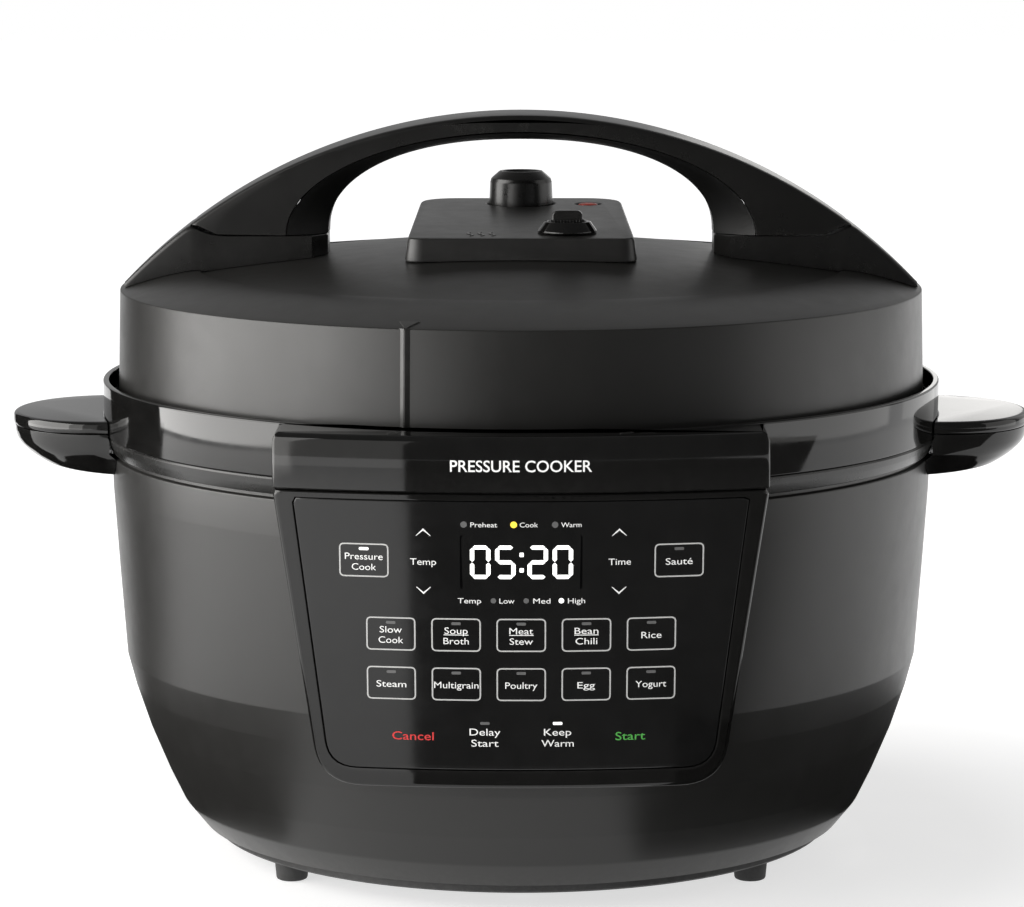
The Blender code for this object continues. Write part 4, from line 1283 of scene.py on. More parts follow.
@dataclass
class ControlPanel:
    """Gloss bezel and the printed overlay in it."""

    top_half: float = 95.5
    low_half: float = 79.0
    bottom_z: float = 59.0
    glass_top_half: float = 87.5
    glass_low_half: float = 75.0
    glass_z: Plan = (67.0, 176.0)
    hub: Plan = (0.0, 122.0)

    def shape(self, top_half: float, low_half: float, low: float, high: float, corner: float) -> list[Plan]:
        """Outline of a panel, wider at its top and with round lower corners.

        Args:
            top_half: half width at the top.
            low_half: half width at the bottom.
            low: bottom height.
            high: top height.
            corner: radius of the lower corners.

        Returns:
            The outline, evenly divided.
        """
        corners = [(-top_half, high), (-low_half, low), (low_half, low), (top_half, high)]
        outline = fillet(corners, [1.0, corner, corner, 1.0], True, 14)
        return evenly(outline, 200)

    def build(self, body: Housing) -> None:
        """Makes the bezel and the overlay.

        Args:
            body: the housing that they sit on.
        """
        outer = self.shape(self.top_half, self.low_half, self.bottom_z, FACE.top_z, 19.0)
        inner = self.shape(self.glass_top_half + 0.3, self.glass_low_half + 0.3, self.glass_z[0] - 0.3,
                           self.glass_z[1] + 0.3, 12.3)
        Bench.piece("bezel_moulding", self._bezel(outer, inner, body), LOOKS.gloss, Part.BASE,
                    ("panel_bezel",))
        glass = self.shape(self.glass_top_half, self.glass_low_half, *self.glass_z, 12.0)
        Bench.piece("panel_overlay", self._overlay(glass), LOOKS.panel, Part.BASE, ("touch_panel",))

    def _bezel(self, outer: list[Plan], inner: list[Plan], body: Housing) -> bpy.types.Mesh:
        """Lofts the bezel from the shell forward, over its edge and down into the recess.

        Args:
            outer: outline of the bezel.
            inner: outline of the recess.
            body: the housing that it sits on.

        Returns:
            The mesh.
        """
        def on_body(outline: list[Plan]) -> list[Spot]:
            """The outline laid on the body.

            Args:
                outline: the outline, seen from the front.

            Returns:
                The same outline on the body.
            """
            ring = []
            for x, z in outline:
                r = body.radius_at(min(z, 178.0)) + 0.3
                ring.append((x, -math.sqrt(r * r - x * x), z))
            return ring

        rings = [on_body(self._toward_hub(outer, s)) for s in (0.02, 0.3, 0.6, 0.85, 1.0)]
        for inset, depth in ((0.0, 1.8), (0.15, 1.0), (0.55, 0.4), (1.1, 0.1), (1.8, 0.0)):
            rings.append(self._on_face(inset_outline(outer, inset), depth))
        for t in (0.25, 0.5, 0.75):
            blend = [(a[0] + (b[0] - a[0]) * t, a[1] + (b[1] - a[1]) * t) for a, b in zip(outer, inner)]
            rings.append(self._on_face(blend, 0.0))
        rings.append(self._on_face(inset_outline(inner, -0.5), 0.0))
        rings.append(self._on_face(inset_outline(inner, -0.1), 0.12))
        rings.append(self._on_face(inner, 0.5))
        rings.append(self._on_face(inner, 2.3))
        rings += [self._on_face(self._toward_hub(inner, s), 2.3) for s in (0.8, 0.5, 0.2, 0.02)]
        return Shaper.skinned("panel_bezel", rings)

    def _overlay(self, glass: list[Plan]) -> bpy.types.Mesh:
        """Lofts the overlay with its polished edge.

        Args:
            glass: outline of the overlay.

        Returns:
            The mesh.
        """
        rings = [self._on_face(self._toward_hub(glass, s), 1.9) for s in (0.02, 0.4, 0.8, 1.0)]
        rings += [self._on_face(inset_outline(glass, inset), depth)
                  for inset, depth in ((0.0, 0.6), (0.08, 0.32), (0.3, 0.14), (0.6, 0.1))]
        for s in spread(0.96, 0.02, 16):
            rings.append(self._on_face(self._toward_hub(glass, s), 0.1))
        return Shaper.skinned("touch_panel", rings)

    def _toward_hub(self, outline: list[Plan], share: float) -> list[Plan]:
        """The outline drawn in towards the panel's hub."""
        hx, hz = self.hub
        return [(hx + (x - hx) * share, hz + (z - hz) * share) for x, z in outline]

    @staticmethod
    def _on_face(outline: list[Plan], depth: float) -> list[Spot]:
        """The outline laid on the panel's face, that far behind it."""
        return [(x, FACE.y(x, z, depth), z) for x, z in outline]


def evenly(outline: list[Plan], count: int) -> list[Plan]:
    """Divides a closed outline into equal steps.

    Args:
        outline: the outline.
        count: points wanted.

    Returns:
        The divided outline.
    """
    loop = outline + outline[:1]
    lengths = [0.0]
    for a, b in zip(loop, loop[1:]):
        lengths.append(lengths[-1] + math.dist(a, b))
    points: list[Plan] = []
    k = 0
    for i in range(count):
        want = lengths[-1] * i / count
        while lengths[k + 1] < want:
            k += 1
        t = (want - lengths[k]) / max(lengths[k + 1] - lengths[k], 1e-9)
        a, b = loop[k], loop[k + 1]
        points.append((a[0] + (b[0] - a[0]) * t, a[1] + (b[1] - a[1]) * t))
    return points


class Align(Enum):
    """How a label stands on its spot."""

    MIDDLE = "CENTER"
    LEFT = "LEFT"


@dataclass
class PanelPrint:
    """Lettering, key outlines, lamps and digits printed on or lit through the overlay."""

    lift: float = 0.05
    skin: float = 0.06
    key_half: Plan = (9.55, 6.75)
    key_corner: float = 2.1
    stroke: float = 0.55

    def build(self) -> None:
        """Makes all of the print."""
        self._letters()
        self._keys()
        self._lamps()
        self._display()
        self._name()

    def _on_panel(self, x: float, z: float, rise: float) -> Spot:
        """A spot that far in front of the overlay."""
        return (x, FACE.y(x, z, 0.1) - rise, z)

    def _sheet(self, name: str, outline: list[Plan], hole: list[Plan] | None = None) -> bpy.types.Mesh:
        """A thin closed patch on the panel.

        Args:
            name: name of the mesh.
            outline: its outline.
            hole: inner outline with as many points, or None.

        Returns:
            The mesh.
        """
        near, far = self.lift + self.skin, self.lift
        rings = [[self._on_panel(x, z, far) for x, z in outline],
                 [self._on_panel(x, z, near) for x, z in outline]]
        if hole is None:
            return Shaper.skinned(name, rings)
        rings += [[self._on_panel(x, z, near) for x, z in hole], [self._on_panel(x, z, far) for x, z in hole]]
        return Shaper.skinned(name, rings, closed=True)

    def _text(self, words: str, x: float, z: float, cap: float, width: float = 0.0, bold: float = 0.0,
              align: Align = Align.MIDDLE, on_brow: bool = False) -> bpy.types.Mesh:
        """Sets a line of lettering on the panel.

        Args:
            words: what it says.
            x: middle, or left end.
            z: middle of its height.
            cap: height of a capital.
            width: length of the line, or 0 for the natural length.
            bold: how much each stroke is thickened.
            align: how it stands on its spot.
            on_brow: whether it is on the name band instead of the panel.

        Returns:
            The mesh.
        """
        curve = bpy.data.curves.new("letters", "FONT")
        curve.body = words
        curve.align_x = "LEFT"
        curve.resolution_u = 4
        curve.extrude = self.skin / 2.0 / cap * 0.73
        curve.offset = bold / cap * 0.73
        holder = bpy.data.objects.new("letters", curve)
        mesh = bpy.data.meshes.new_from_object(holder)
        bpy.data.objects.remove(holder, do_unlink=True)
        bpy.data.curves.remove(curve)
        size = cap / 0.73
        xs = [v.co.x for v in mesh.vertices]
        left, length = min(xs), max(xs) - min(xs)
        across = width / length if width else size
        start = x - length * across / 2.0 if align is Align.MIDDLE else x
        for v in mesh.vertices:
            px = start + (v.co.x - left) * across
            pz = z - cap / 2.0 + v.co.y * size
            rise = self.lift + self.skin / 2.0 + v.co.z * size
            py = FACE.y(px, FACE.top_z) - rise if on_brow else FACE.y(px, pz, 0.1) - rise
            v.co = (px * MM, (py + AXIS_Y) * MM, pz * MM)
        return mesh

    def _letters(self) -> None:
        """Prints the labels of the keys and the lamps."""
        white: list[bpy.types.Mesh] = []
        for words, x, width in (("Preheat", -14.2, 10.2), ("Cook", 3.0, 7.0), ("Warm", 19.2, 7.8)):
            white.append(self._text(words, x, 167.0, 2.0, width))
        for words, x, width in (("Temp", -19.8, 9.0), ("Low", -5.4, 5.8), ("Med", 8.0, 6.6),
                                ("High", 21.3, 6.6)):
            white.append(self._text(words, x, 136.5, 2.2, width))
        white.append(self._text("Temp", -37.5, 152.0, 2.7, 10.0))
        white.append(self._text("Time", 37.8, 152.0, 2.7, 8.6))
        for words, x, z, width in KEY_WORDS:
            white.append(self._text(words, x, z, 2.75, width))
        for words, x, z, width in (("Delay", -14.0, 82.9, 12.0), ("Start", -14.0, 78.3, 10.6),
                                   ("Keep", 14.2, 82.9, 10.6), ("Warm", 14.2, 78.3, 12.6)):
            white.append(self._text(words, x, z, 3.0, width))
        for x, width in ((-25.0, 9.6), (0.2, 9.4), (25.2, 9.4)):
            bar = [(x - width / 2.0, 122.35), (x + width / 2.0, 122.35), (x + width / 2.0, 122.65),
                   (x - width / 2.0, 122.65)]
            white.append(self._sheet("rule", bar))
        for x in (-37.4, 37.6):
            for z, turn in ((163.8, 1.0), (140.3, -1.0)):
                white.append(self._sheet("chevron", self._chevron(x, z, turn)))
        Bench.piece("panel_lettering", Bench.gathered("panel_lettering", white), LOOKS.ink, Part.BASE,
                    shading=Shading.CRISP)
        Bench.piece("cancel_lettering", self._text("Cancel", -42.0, 80.9, 3.5, 16.2, 0.02), LOOKS.stop_ink,
                    Part.BASE, shading=Shading.CRISP)
        Bench.piece("start_lettering", self._text("Start", 42.5, 80.9, 3.5, 11.6, 0.02), LOOKS.go_ink,
                    Part.BASE, shading=Shading.CRISP)

    @staticmethod
    def _chevron(x: float, z: float, turn: float) -> list[Plan]:
        """Outline of a small arrow pointing up for turn 1 or down for -1.

        Args:
            x: its middle.
            z: its middle.
            turn: 1 for up, -1 for down.

        Returns:
            The outline.
        """
        half, rise, thick = 2.9, 1.45, 0.62
        upper = [(-half, -rise), (0.0, rise), (half, -rise)]
        lower = [(half - thick * 0.5, -rise - thick * 0.1), (0.0, rise - thick * 1.35),
                 (-half + thick * 0.5, -rise - thick * 0.1)]
        return [(x + u, z + v * turn) for u, v in upper + lower]

    def _keys(self) -> None:
        """Prints the outlines of the keys."""
        frames: list[bpy.types.Mesh] = []
        hx, hz = self.key_half
        for x, z in KEY_SPOTS:
            corners = [(x - hx, z - hz), (x + hx, z - hz), (x + hx, z + hz), (x - hx, z + hz)]
            outer = fillet(corners, self.key_corner, True, 6)
            frames.append(self._sheet("key_frame", outer, inset_outline(outer, self.stroke)))
        Bench.piece("key_outlines", Bench.gathered("key_outlines", frames), LOOKS.outline, Part.BASE,
                    shading=Shading.CRISP)

    def _bar(self, x: float, z: float) -> bpy.types.Mesh:
        """A small bar lamp."""
        corners = [(x - 1.85, z - 0.58), (x + 1.85, z - 0.58), (x + 1.85, z + 0.58), (x - 1.85, z + 0.58)]
        return self._sheet("bar_lamp", fillet(corners, 0.5, True, 3))

    def _dot(self, x: float, z: float, radius: float) -> bpy.types.Mesh:
        """A round lamp."""
        ring = [(x + radius * math.cos(a), z + radius * math.sin(a)) for a in spread(0.0, math.tau, 24)[:-1]]
        return self._sheet("dot_lamp", ring)

    def _lamps(self) -> None:
        """Makes the lamps beside the labels and above the keys."""
        dark = [self._bar(x, z + 4.6) for x, z in KEY_SPOTS[1:]]
        dark.append(self._bar(-14.0, 86.4))
        dark += [self._dot(-21.9, 167.0, 1.25), self._dot(13.0, 167.0, 1.25), self._dot(-10.6, 136.5, 1.05),
                 self._dot(2.0, 136.5, 1.05)]
        lit = [self._bar(KEY_SPOTS[0][0], KEY_SPOTS[0][1] + 4.6), self._bar(14.2, 86.4),
               self._dot(15.5, 136.5, 1.05)]
        Bench.piece("lamps_dark", Bench.gathered("lamps_dark", dark), LOOKS.lamp_off, Part.BASE,
                    shading=Shading.CRISP)
        Bench.piece("lamps_lit", Bench.gathered("lamps_lit", lit), LOOKS.lamp_on, Part.BASE,
                    shading=Shading.CRISP)
        Bench.piece("lamp_cook", self._dot(-2.8, 167.0, 1.3), LOOKS.lamp_cook, Part.BASE,
                    shading=Shading.CRISP)

    def _display(self) -> None:
        """Makes the dark window and the lit time."""
        window = fillet([(-23.4, 141.2), (23.5, 141.2), (23.5, 162.6), (-23.4, 162.6)], 0.8)
        flat = [[self._on_panel(x, z, rise) for x, z in window] for rise in (0.01, 0.035)]
        Bench.piece("display_window", Shaper.skinned("window", flat), LOOKS.display, Part.BASE,
                    shading=Shading.CRISP)
        parts: list[bpy.types.Mesh] = []
        for digit, x in (("0", -15.6), ("5", -6.0), ("2", 6.4), ("0", 16.0)):
            parts += self._digit(digit, x, 152.0)
        for z in (155.0, 148.8):
            corners = [(-0.55, z - 0.85), (1.05, z - 0.85), (1.05, z + 0.85), (-0.55, z + 0.85)]
            parts.append(self._sheet("colon", fillet(corners, 0.2, True, 2)))
        Bench.piece("display_digits", Bench.gathered("digits", parts), LOOKS.digit, Part.BASE,
                    shading=Shading.CRISP)

    def _digit(self, digit: str, x: float, z: float) -> list[bpy.types.Mesh]:
        """Lit segments of one digit.

        Args:
            digit: which digit.
            x: its middle.
            z: its middle.

        Returns:
            One mesh for each lit segment.
        """
        half_w, half_h, thick = 3.1, 5.9, 0.82
        bars = {
            "a": ((-half_w, half_h), (half_w, half_h)), "g": ((-half_w, 0.0), (half_w, 0.0)),
            "d": ((-half_w, -half_h), (half_w, -half_h)), "f": ((-half_w, 0.0), (-half_w, half_h)),
            "b": ((half_w, 0.0), (half_w, half_h)), "e": ((-half_w, -half_h), (-half_w, 0.0)),
            "c": ((half_w, -half_h), (half_w, 0.0))}
        lit = {"0": "abcdef", "5": "afgcd", "2": "abged"}[digit]
        made = []
        for key in lit:
            (x0, z0), (x1, z1) = bars[key]
            run = Vector((x1 - x0, z1 - z0)).normalized()
            side = Vector((-run.y, run.x)) * thick
            start, stop = Vector((x0, z0)) + run * 0.16, Vector((x1, z1)) - run * 0.16
            inner0, inner1 = start + run * thick, stop - run * thick
            outline = [start, inner0 + side, inner1 + side, stop, inner1 - side, inner0 - side]
            made.append(self._sheet("segment", [(x + p.x, z + p.y) for p in outline]))
        return made

    def _name(self) -> None:
        """Prints the plain name of the appliance on the name band."""
        words = self._text("PRESSURE COOKER", 0.0, 190.0, 4.6, 54.0, 0.06, on_brow=True)
        Bench.piece("name_lettering", words, LOOKS.name_ink, Part.BASE, shading=Shading.CRISP)


KEY_COLUMNS = (-50.2, -25.0, 0.1, 25.2, 50.3)
KEY_SPOTS = ([(-60.3, 152.0), (60.7, 152.0)] + [(x, 122.5) for x in KEY_COLUMNS]
             + [(x, 102.4) for x in KEY_COLUMNS])
KEY_WORDS = (
    ("Pressure", -60.3, 153.6, 14.6), ("Cook", -60.3, 149.4, 9.4), ("Sauté", 60.7, 151.6, 10.4),
    ("Slow", -50.2, 124.3, 8.6), ("Cook", -50.2, 120.1, 9.6), ("Soup", -25.0, 124.3, 9.0),
    ("Broth", -25.0, 120.1, 9.8),
    ("Meat", 0.1, 124.3, 9.2), ("Stew", 0.1, 120.1, 9.0), ("Bean", 25.2, 124.3, 9.2),
    ("Chili", 25.2, 120.1, 8.4),
    ("Rice", 50.3, 122.1, 7.8), ("Steam", -50.2, 102.1, 11.6), ("Multigrain", -25.0, 102.1, 17.2),
    ("Poultry", 0.1, 102.1, 12.4), ("Egg", 25.2, 102.1, 6.8), ("Yogurt", 50.3, 102.1, 12.0))


# ------------------------------------------------------------- pot and ring


@dataclass
class CookingPot:
    """Removable steel pot with a rolled rim, and the silicone sealing ring on it."""

    radius: float = 130.2
    wall: float = 1.2
    floor_z: float = 51.0
    rim_z: float = 188.0
    bend: float = 12.0
    steps: int = 160

    def build(self) -> None:
        """Makes the pot and the ring."""
        r, floor, bend = self.radius, self.floor_z, self.bend
        inside = [(0.0, floor + self.wall), (70.0, floor + self.wall)]
        inside += self._knuckle(r - bend, floor + bend, bend - self.wall, -90.0, 0.0)
        rim = fillet([(r - self.wall, self.rim_z), (138.0, self.rim_z), (138.6, self.rim_z - 0.9),
                      (138.0, self.rim_z - 1.6), (r, self.rim_z - 1.6)], [1.2, 0.4, 0.3, 0.3, 0.5], True, 4)
        outside = self._knuckle(r - bend, floor + bend, bend, 0.0, -90.0)
        marks = []
        for z in (168.0, 150.0, 132.0):
            marks += [(r - self.wall, z - 0.5), (r - self.wall - 0.25, z), (r - self.wall, z + 0.5)]
        marks.sort(key=lambda p: p[1])
        outside += [(90.0, floor), (89.0, floor + 0.3), (0.0, floor + 0.3)]
        mesh = Shaper.turned("inner_pot", inside + marks + rim + outside, self.steps)
        Bench.piece("cooking_pot", mesh, LOOKS.steel, Part.POT, ("inner_pot",), Shading.MOULDED)
        section = [(128.0, 197.0), (139.0, 197.0), (141.0, 194.6), (141.0, 190.2), (139.5, self.rim_z + 0.3),
                   (131.0, self.rim_z + 0.3), (131.0, 190.4), (127.4, 191.4), (126.4, 194.6)]
        ring = fillet(section, [1.6, 1.8, 1.4, 1.0, 0.5, 0.5, 0.8, 1.2, 1.4])
        mesh = Shaper.turned("sealing_ring", ring, self.steps, closed=True)
        Bench.piece("silicone_ring", mesh, LOOKS.silicone, Part.RING, ("sealing_ring",), Shading.ROUND)

    @staticmethod
    def _knuckle(r: float, z: float, radius: float, start: float, stop: float) -> list[Plan]:
        """Points of the rounded corner between floor and wall, angles in degrees."""
        angles = [math.radians(a) for a in spread(start, stop, 10)]
        return [(r + radius * math.cos(a), z + radius * math.sin(a)) for a in angles]


# ---------------------------------------------------------------------- lid


@dataclass
class Lid:
    """Lid cover, its steel inner plate, ring rack and valve fittings."""

    skirt_radius: float = 171.1
    bottom_z: float = 195.0
    mark_deg: float = -15.2
    knob: Plan = (0.0, 67.0)
    float_at: Plan = (29.5, 64.0)
    steps: int = 256

    def build(self) -> None:
        """Makes every fixed piece of the lid."""
        self._cover()
        self._plate()
        self._rack()
        self._pipe()
        self._screws()

    def _cover(self) -> None:
        """Turns the cover, drills it for the valves and adds its closing mark."""
        top = DOME.section()
        rim = fillet([top[-2], (170.0, 239.0), (self.skirt_radius, 195.6),
                      (self.skirt_radius - 0.6, self.bottom_z)],
                     [0.0, 0.7, 0.5, 0.0], False, 5)
        inner = [(168.4, self.bottom_z), (167.4, 235.5), (164.0, 238.4), (151.5, 241.6), (134.5, 243.6)]
        inner += [(r, DOME.z(r) - 2.6) for r in (118.0, 90.0, 60.0, 30.0, 0.0)]
        mesh = Shaper.turned("lid_cover", top[:-1] + rim[1:] + inner, self.steps)
        cutters = []
        for (x, y), radius in ((self.knob, 9.0), (self.float_at, 5.6)):
            bore = [(0.0, 275.0), (radius, 275.0), (radius, 230.0), (0.0, 230.0)]
            cutters.append(Shaper.turned("bore", bore, 40, centre=(x, y)))
        mesh = Bench.gathered("lid_cover", [Bench.carved(mesh, cutters), self._ridge(), self._pointer()])
        Bench.piece("lid_moulding", mesh, LOOKS.lid, Part.LID, ("lid_cover",), Shading.CRISP)

    def _at_mark(self, points: list[Spot]) -> list[Spot]:
        """Turns points from straight ahead (at -y) to the closing mark."""
        turn = Matrix.Rotation(math.radians(self.mark_deg), 3, "Z")
        return [tuple(turn @ Vector(p)) for p in points]

    def _ridge(self) -> bpy.types.Mesh:
        """The raised line down the lid's side that marks where it closes.

        Returns:
            The mesh.
        """
        rings = []
        for z, out in ((196.2, 0.2), (196.6, 1.0), (197.4, 1.25), (237.9, 1.25), (238.7, 1.1), (239.2, 0.6)):
            wall = self.skirt_radius + (170.0 - self.skirt_radius) * (z - 195.6) / 43.4
            section = [(-3.2, 0.8), (-1.95, 0.0), (-0.3, -out), (0.3, -out), (1.95, 0.0), (3.2, 0.8)]
            rings.append(self._at_mark([(x, y - wall, z) for x, y in section]))
        return Shaper.skinned("ridge", rings)

    def _pointer(self) -> bpy.types.Mesh:
        """The raised arrow head on the lid's top, at the end of the ridge.

        Returns:
            The mesh.
        """
        rings = []
        for r, half, rise in ((170.5, 0.5, -0.3), (169.9, 0.7, 0.3), (168.4, 1.4, 0.42), (166.2, 2.8, 0.45),
                              (164.2, 4.1, 0.45), (163.6, 4.5, -0.2)):
            z = DOME.z(min(r, 169.6))
            section = [(-half, z - 0.5), (-half, z + rise * 0.2), (-half + 0.3, z + rise),
                       (half - 0.3, z + rise),
                       (half, z + rise * 0.2), (half, z - 0.5)]
            rings.append(self._at_mark([(x, -r, height) for x, height in section]))
        return Shaper.skinned("pointer", rings)

    def _plate(self) -> None:
        """Turns the inner plate, adds its lugs and drills it."""
        section = [(0.0, 240.0), (60.0, 238.6), (105.0, 234.0), (143.0, 226.0), (145.0, 223.0),
                   (145.0, 187.0),
                   (143.5, 187.0), (143.5, 222.0), (141.6, 224.6), (104.0, 232.6), (60.0, 237.2),
                   (0.0, 238.6)]
        bends = [0.0, 60.0, 60.0, 4.0, 3.0, 0.3, 0.3, 3.0, 2.5, 60.0, 60.0, 0.0]
        mesh = Shaper.turned("plate", fillet(section, bends, False, 6), 160)
        holes = []
        for (x, y), radius in ((self.knob, 5.4), (self.float_at, 5.0)):
            bore = [(0.0, 250.0), (radius, 250.0), (radius, 225.0), (0.0, 225.0)]
            holes.append(Shaper.turned("bore", bore, 36, centre=(x, y)))
        mesh = Bench.carved(mesh, holes)
        teeth = [lug(144.7, 151.6, 187.0, 190.0, 36.0 * i, 6.5) for i in range(10)]
        Bench.piece("inner_lid_pressing", Bench.gathered("plate", [mesh, *teeth]), LOOKS.steel, Part.LID,
                    ("lid_inner_plate",), Shading.CRISP)

    def _rack(self) -> None:
        """Turns the rack that carries the sealing ring."""
        rack = [(118.0, 226.0), (120.2, 226.0), (120.2, 197.0), (124.6, 195.0), (124.6, 192.4),
                (122.0, 192.4),
                (118.0, 195.4)]
        mesh = Shaper.turned("rack", fillet(rack, [0.4, 0.4, 1.5, 0.6, 0.5, 0.8, 1.5]), 144, closed=True)
        Bench.piece("ring_rack_wire", mesh, LOOKS.pressed, Part.LID, ("ring_rack",))

    def _pipe(self) -> None:
        """Turns the vent pipe, its nut and the shield round its foot."""
        top = cover_top(self.knob[1])
        pipe = [(2.2, top + 5.0), (4.6, top + 5.0), (4.6, 242.6), (7.6, 242.6), (7.6, 240.4), (4.8, 240.4),
                (4.8, 226.0), (2.2, 226.0)]
        mesh = Shaper.turned("pipe", fillet(pipe, 0.5), 48, closed=True, centre=self.knob)
        Bench.piece("steam_pipe", mesh, LOOKS.pressed, Part.LID, ("vent_pipe",))
        Bench.dress(("vent_pipe_nut",), LOOKS.pressed)
        shield = [(0.0, 222.2), (8.4, 222.2), (9.8, 223.6), (9.8, 229.0), (11.0, 229.0), (11.0, 223.0),
                  (9.0, 221.0), (0.0, 221.0)]
        mesh = Shaper.turned("shield", fillet(shield, [0.0, 1.0, 0.8, 0.3, 0.3, 1.2, 1.2, 0.0], False), 56,
                             centre=self.knob)
        slots = []
        for k in range(8):
            turn = Matrix.Rotation(math.tau * k / 8, 2)
            outline = [(6.0, -1.0), (14.0, -1.0), (14.0, 1.0), (6.0, 1.0)]
            placed = [(self.knob[0] + (turn @ Vector(p)).x,
                       self.knob[1] + (turn @ Vector(p)).y) for p in outline]
            slots.append(Shaper.slab("slot", placed, 224.6, 227.6))
        mesh = Bench.carved(mesh, [Bench.gathered("slots", slots)])
        Bench.piece("pipe_shield", mesh, LOOKS.pressed, Part.LID, ("anti_block_shield",), Shading.CRISP)

    def _screws(self) -> None:
        """Turns the two screws inside the lid."""
        for i, x in enumerate((-36.0, 36.0), 1):
            low = 229.2
            head = [(0.0, 233.6), (4.0, 233.6), (4.0, low + 1.2), (3.6, low + 0.5), (2.6, low + 0.1),
                    (0.0, low)]
            mesh = Shaper.turned("screw", head, 40, centre=(x, -30.0))
            cross = [Shaper.block("slot", (0.8, 4.2, 1.6), (x, -30.0, low)),
                     Shaper.block("slot", (4.2, 0.8, 1.6), (x, -30.0, low))]
            Bench.piece(f"lid_fixing_{i}", Bench.carved(mesh, cross), LOOKS.pressed, Part.LID,
                        (f"lid_screw_{i}",))


COVER_Z = 266.0
COVER_SLOPE = 0.0326


def cover_top(y: float) -> float:
    """Height of the vent cover's top, which rises gently towards the back."""
    return COVER_Z + COVER_SLOPE * y


def dome_blank(rise: float) -> bpy.types.Mesh:
    """Everything below the lid's surface and a running gap above it, as a cutter."""
    section = DOME.section(rise)
    return Shaper.turned("dome", section + [(170.4, 200.0), (0.0, 200.0)], 192)


@dataclass
class CarryHandle:
    """Arched handle with its liner and two feet."""

    stations: int = 96
    edge: float = 2.6
    seam_depth: float = 0.25
    seam_gap: float = 0.6
    cove_depth: float = 11.75
    cove_belly: float = 1.1
    cove_end: float = 12.6
    foot_start: float = 139.0

    def build(self) -> None:
        """Makes the arch, the liner and the feet."""
        arch, liner = [], []
        w = ARCH.half_depth
        for outer, middle, seam, opening in self._stations():
            over, root = Vector(outer), Vector(seam)
            inward = root - over
            reach = max(inward.length, 1e-6)
            corner = []
            for k in range(5):
                a = math.pi / 2.0 * k / 4
                drop = self.edge * 1.25 * (1.0 - math.cos(a))
                corner.append((tuple(over + inward * (drop / reach)), w - self.edge * (1.0 - math.sin(a))))
            stop = Vector(opening)
            half = corner + [(middle, w), (seam, w),
                             (tuple(root + (stop - root) * 0.02), w - self.seam_depth)]
            arch.append([(x, -y, z) for (x, z), y in half] + [(x, y, z) for (x, z), y in reversed(half)])
            start = root + (stop - root).normalized() * self.seam_gap
            cove = [(tuple(start), w - self.seam_depth)]
            for t in (0.33, 0.66, 0.94):
                inset = self.seam_depth + self.cove_depth * t - self.cove_belly * math.sin(math.pi * t)
                cove.append((tuple(start.lerp(stop, t)), w - inset))
            cove.append((opening, w - self.cove_end))
            liner.append([(x, -y, z) for (x, z), y in cove] + [(x, y, z) for (x, z), y in reversed(cove)])
        Bench.piece("handle_arch_moulding", Shaper.skinned("arch", arch), LOOKS.handle, Part.LID,
                    ("lid_handle_arch",), Shading.CRISP)
        Bench.piece("handle_liner_moulding", Shaper.skinned("liner", liner), LOOKS.liner, Part.LID,
                    ("lid_handle_liner",), Shading.CRISP)
        for side, sign in (("left", -1.0), ("right", 1.0)):
            self._foot(side, sign)

    def _stations(self) -> list[tuple[Plan, Plan, Plan, Plan]]:
        """Outer edge, shoulder, seam and opening points along the arch, right to left.

        Returns:
            Four points for each station.
        """
        made = []
        for a in spread(0.0, math.pi, self.stations):
            c, s = math.cos(a), max(math.sin(a), 0.0)
            outer = (self.foot_start * c, ARCH.arc_z(self.foot_start * c))
            seam = (ARCH.seam_half * c, ARCH.seam_z + (ARCH.seam_top - ARCH.seam_z) * s)
            n = 2.0 / 2.25
            opening = (math.copysign(ARCH.opening_half * abs(c) ** n, c),
                       ARCH.seam_z + (ARCH.opening_top - ARCH.seam_z) * s ** n)
            t = 0.28
            middle = (outer[0] + (seam[0] - outer[0]) * t,
                      outer[1] + (seam[1] - outer[1]) * t - 2.8 * abs(c) ** 24)
            made.append((outer, middle, seam, opening))
        return made

    def _foot(self, side: str, sign: float) -> None:
        """Lofts one foot down to the lid's rim.

        Args:
            side: left or right.
            sign: -1 for the left, 1 for the right.
        """
        seam = ARCH.seam_z - 0.35
        stops: list[tuple[float, float]] = [(ARCH.opening_half + 0.2, seam - 0.6),
                                            (ARCH.opening_half + 0.7, seam)]
        stops += [(x, seam) for x in (88.0, 99.0, 116.0, 123.0)]
        stops += [(127.0, seam + 0.15), (130.5, seam + 0.75), (133.5, seam + 1.7), (136.5, seam + 3.0)]
        stops.append((self.foot_start, ARCH.arc_z(self.foot_start) - 0.35))
        stops += [(x, ARCH.arc_z(x)) for x in (141.0, 145.0, 150.0, 155.0, 160.0, 164.0, 166.9)]
        rings = []
        for x, top in stops:
            w = ARCH.half_depth
            if x < 89.0:
                w -= 12.0 * (1.0 - min((x - ARCH.opening_half) / 7.5, 1.0)) ** 1.4
            w = min(w, math.sqrt(169.6 ** 2 - x * x))
            edge = self.edge if x > 138.0 else 0.3
            half = [(w - edge * (1.0 - math.sin(b)), top - edge * (1.0 - math.cos(b)))
                    for b in spread(0.0, math.pi / 2.0, 5)]
            half.append((w, min(232.0, top - edge - 0.1)))
            ring = [(x, -y, z) for y, z in half] + [(x, y, z) for y, z in reversed(half)]
            rings.append([(sign * px, py, pz) for px, py, pz in ring])
        mesh = Bench.carved(Shaper.skinned("foot", rings), [dome_blank(0.25)])
        Bench.piece(f"handle_foot_moulding_{side}", mesh, LOOKS.handle, Part.LID,
                    (f"lid_handle_foot_{side}",),
                    Shading.CRISP)


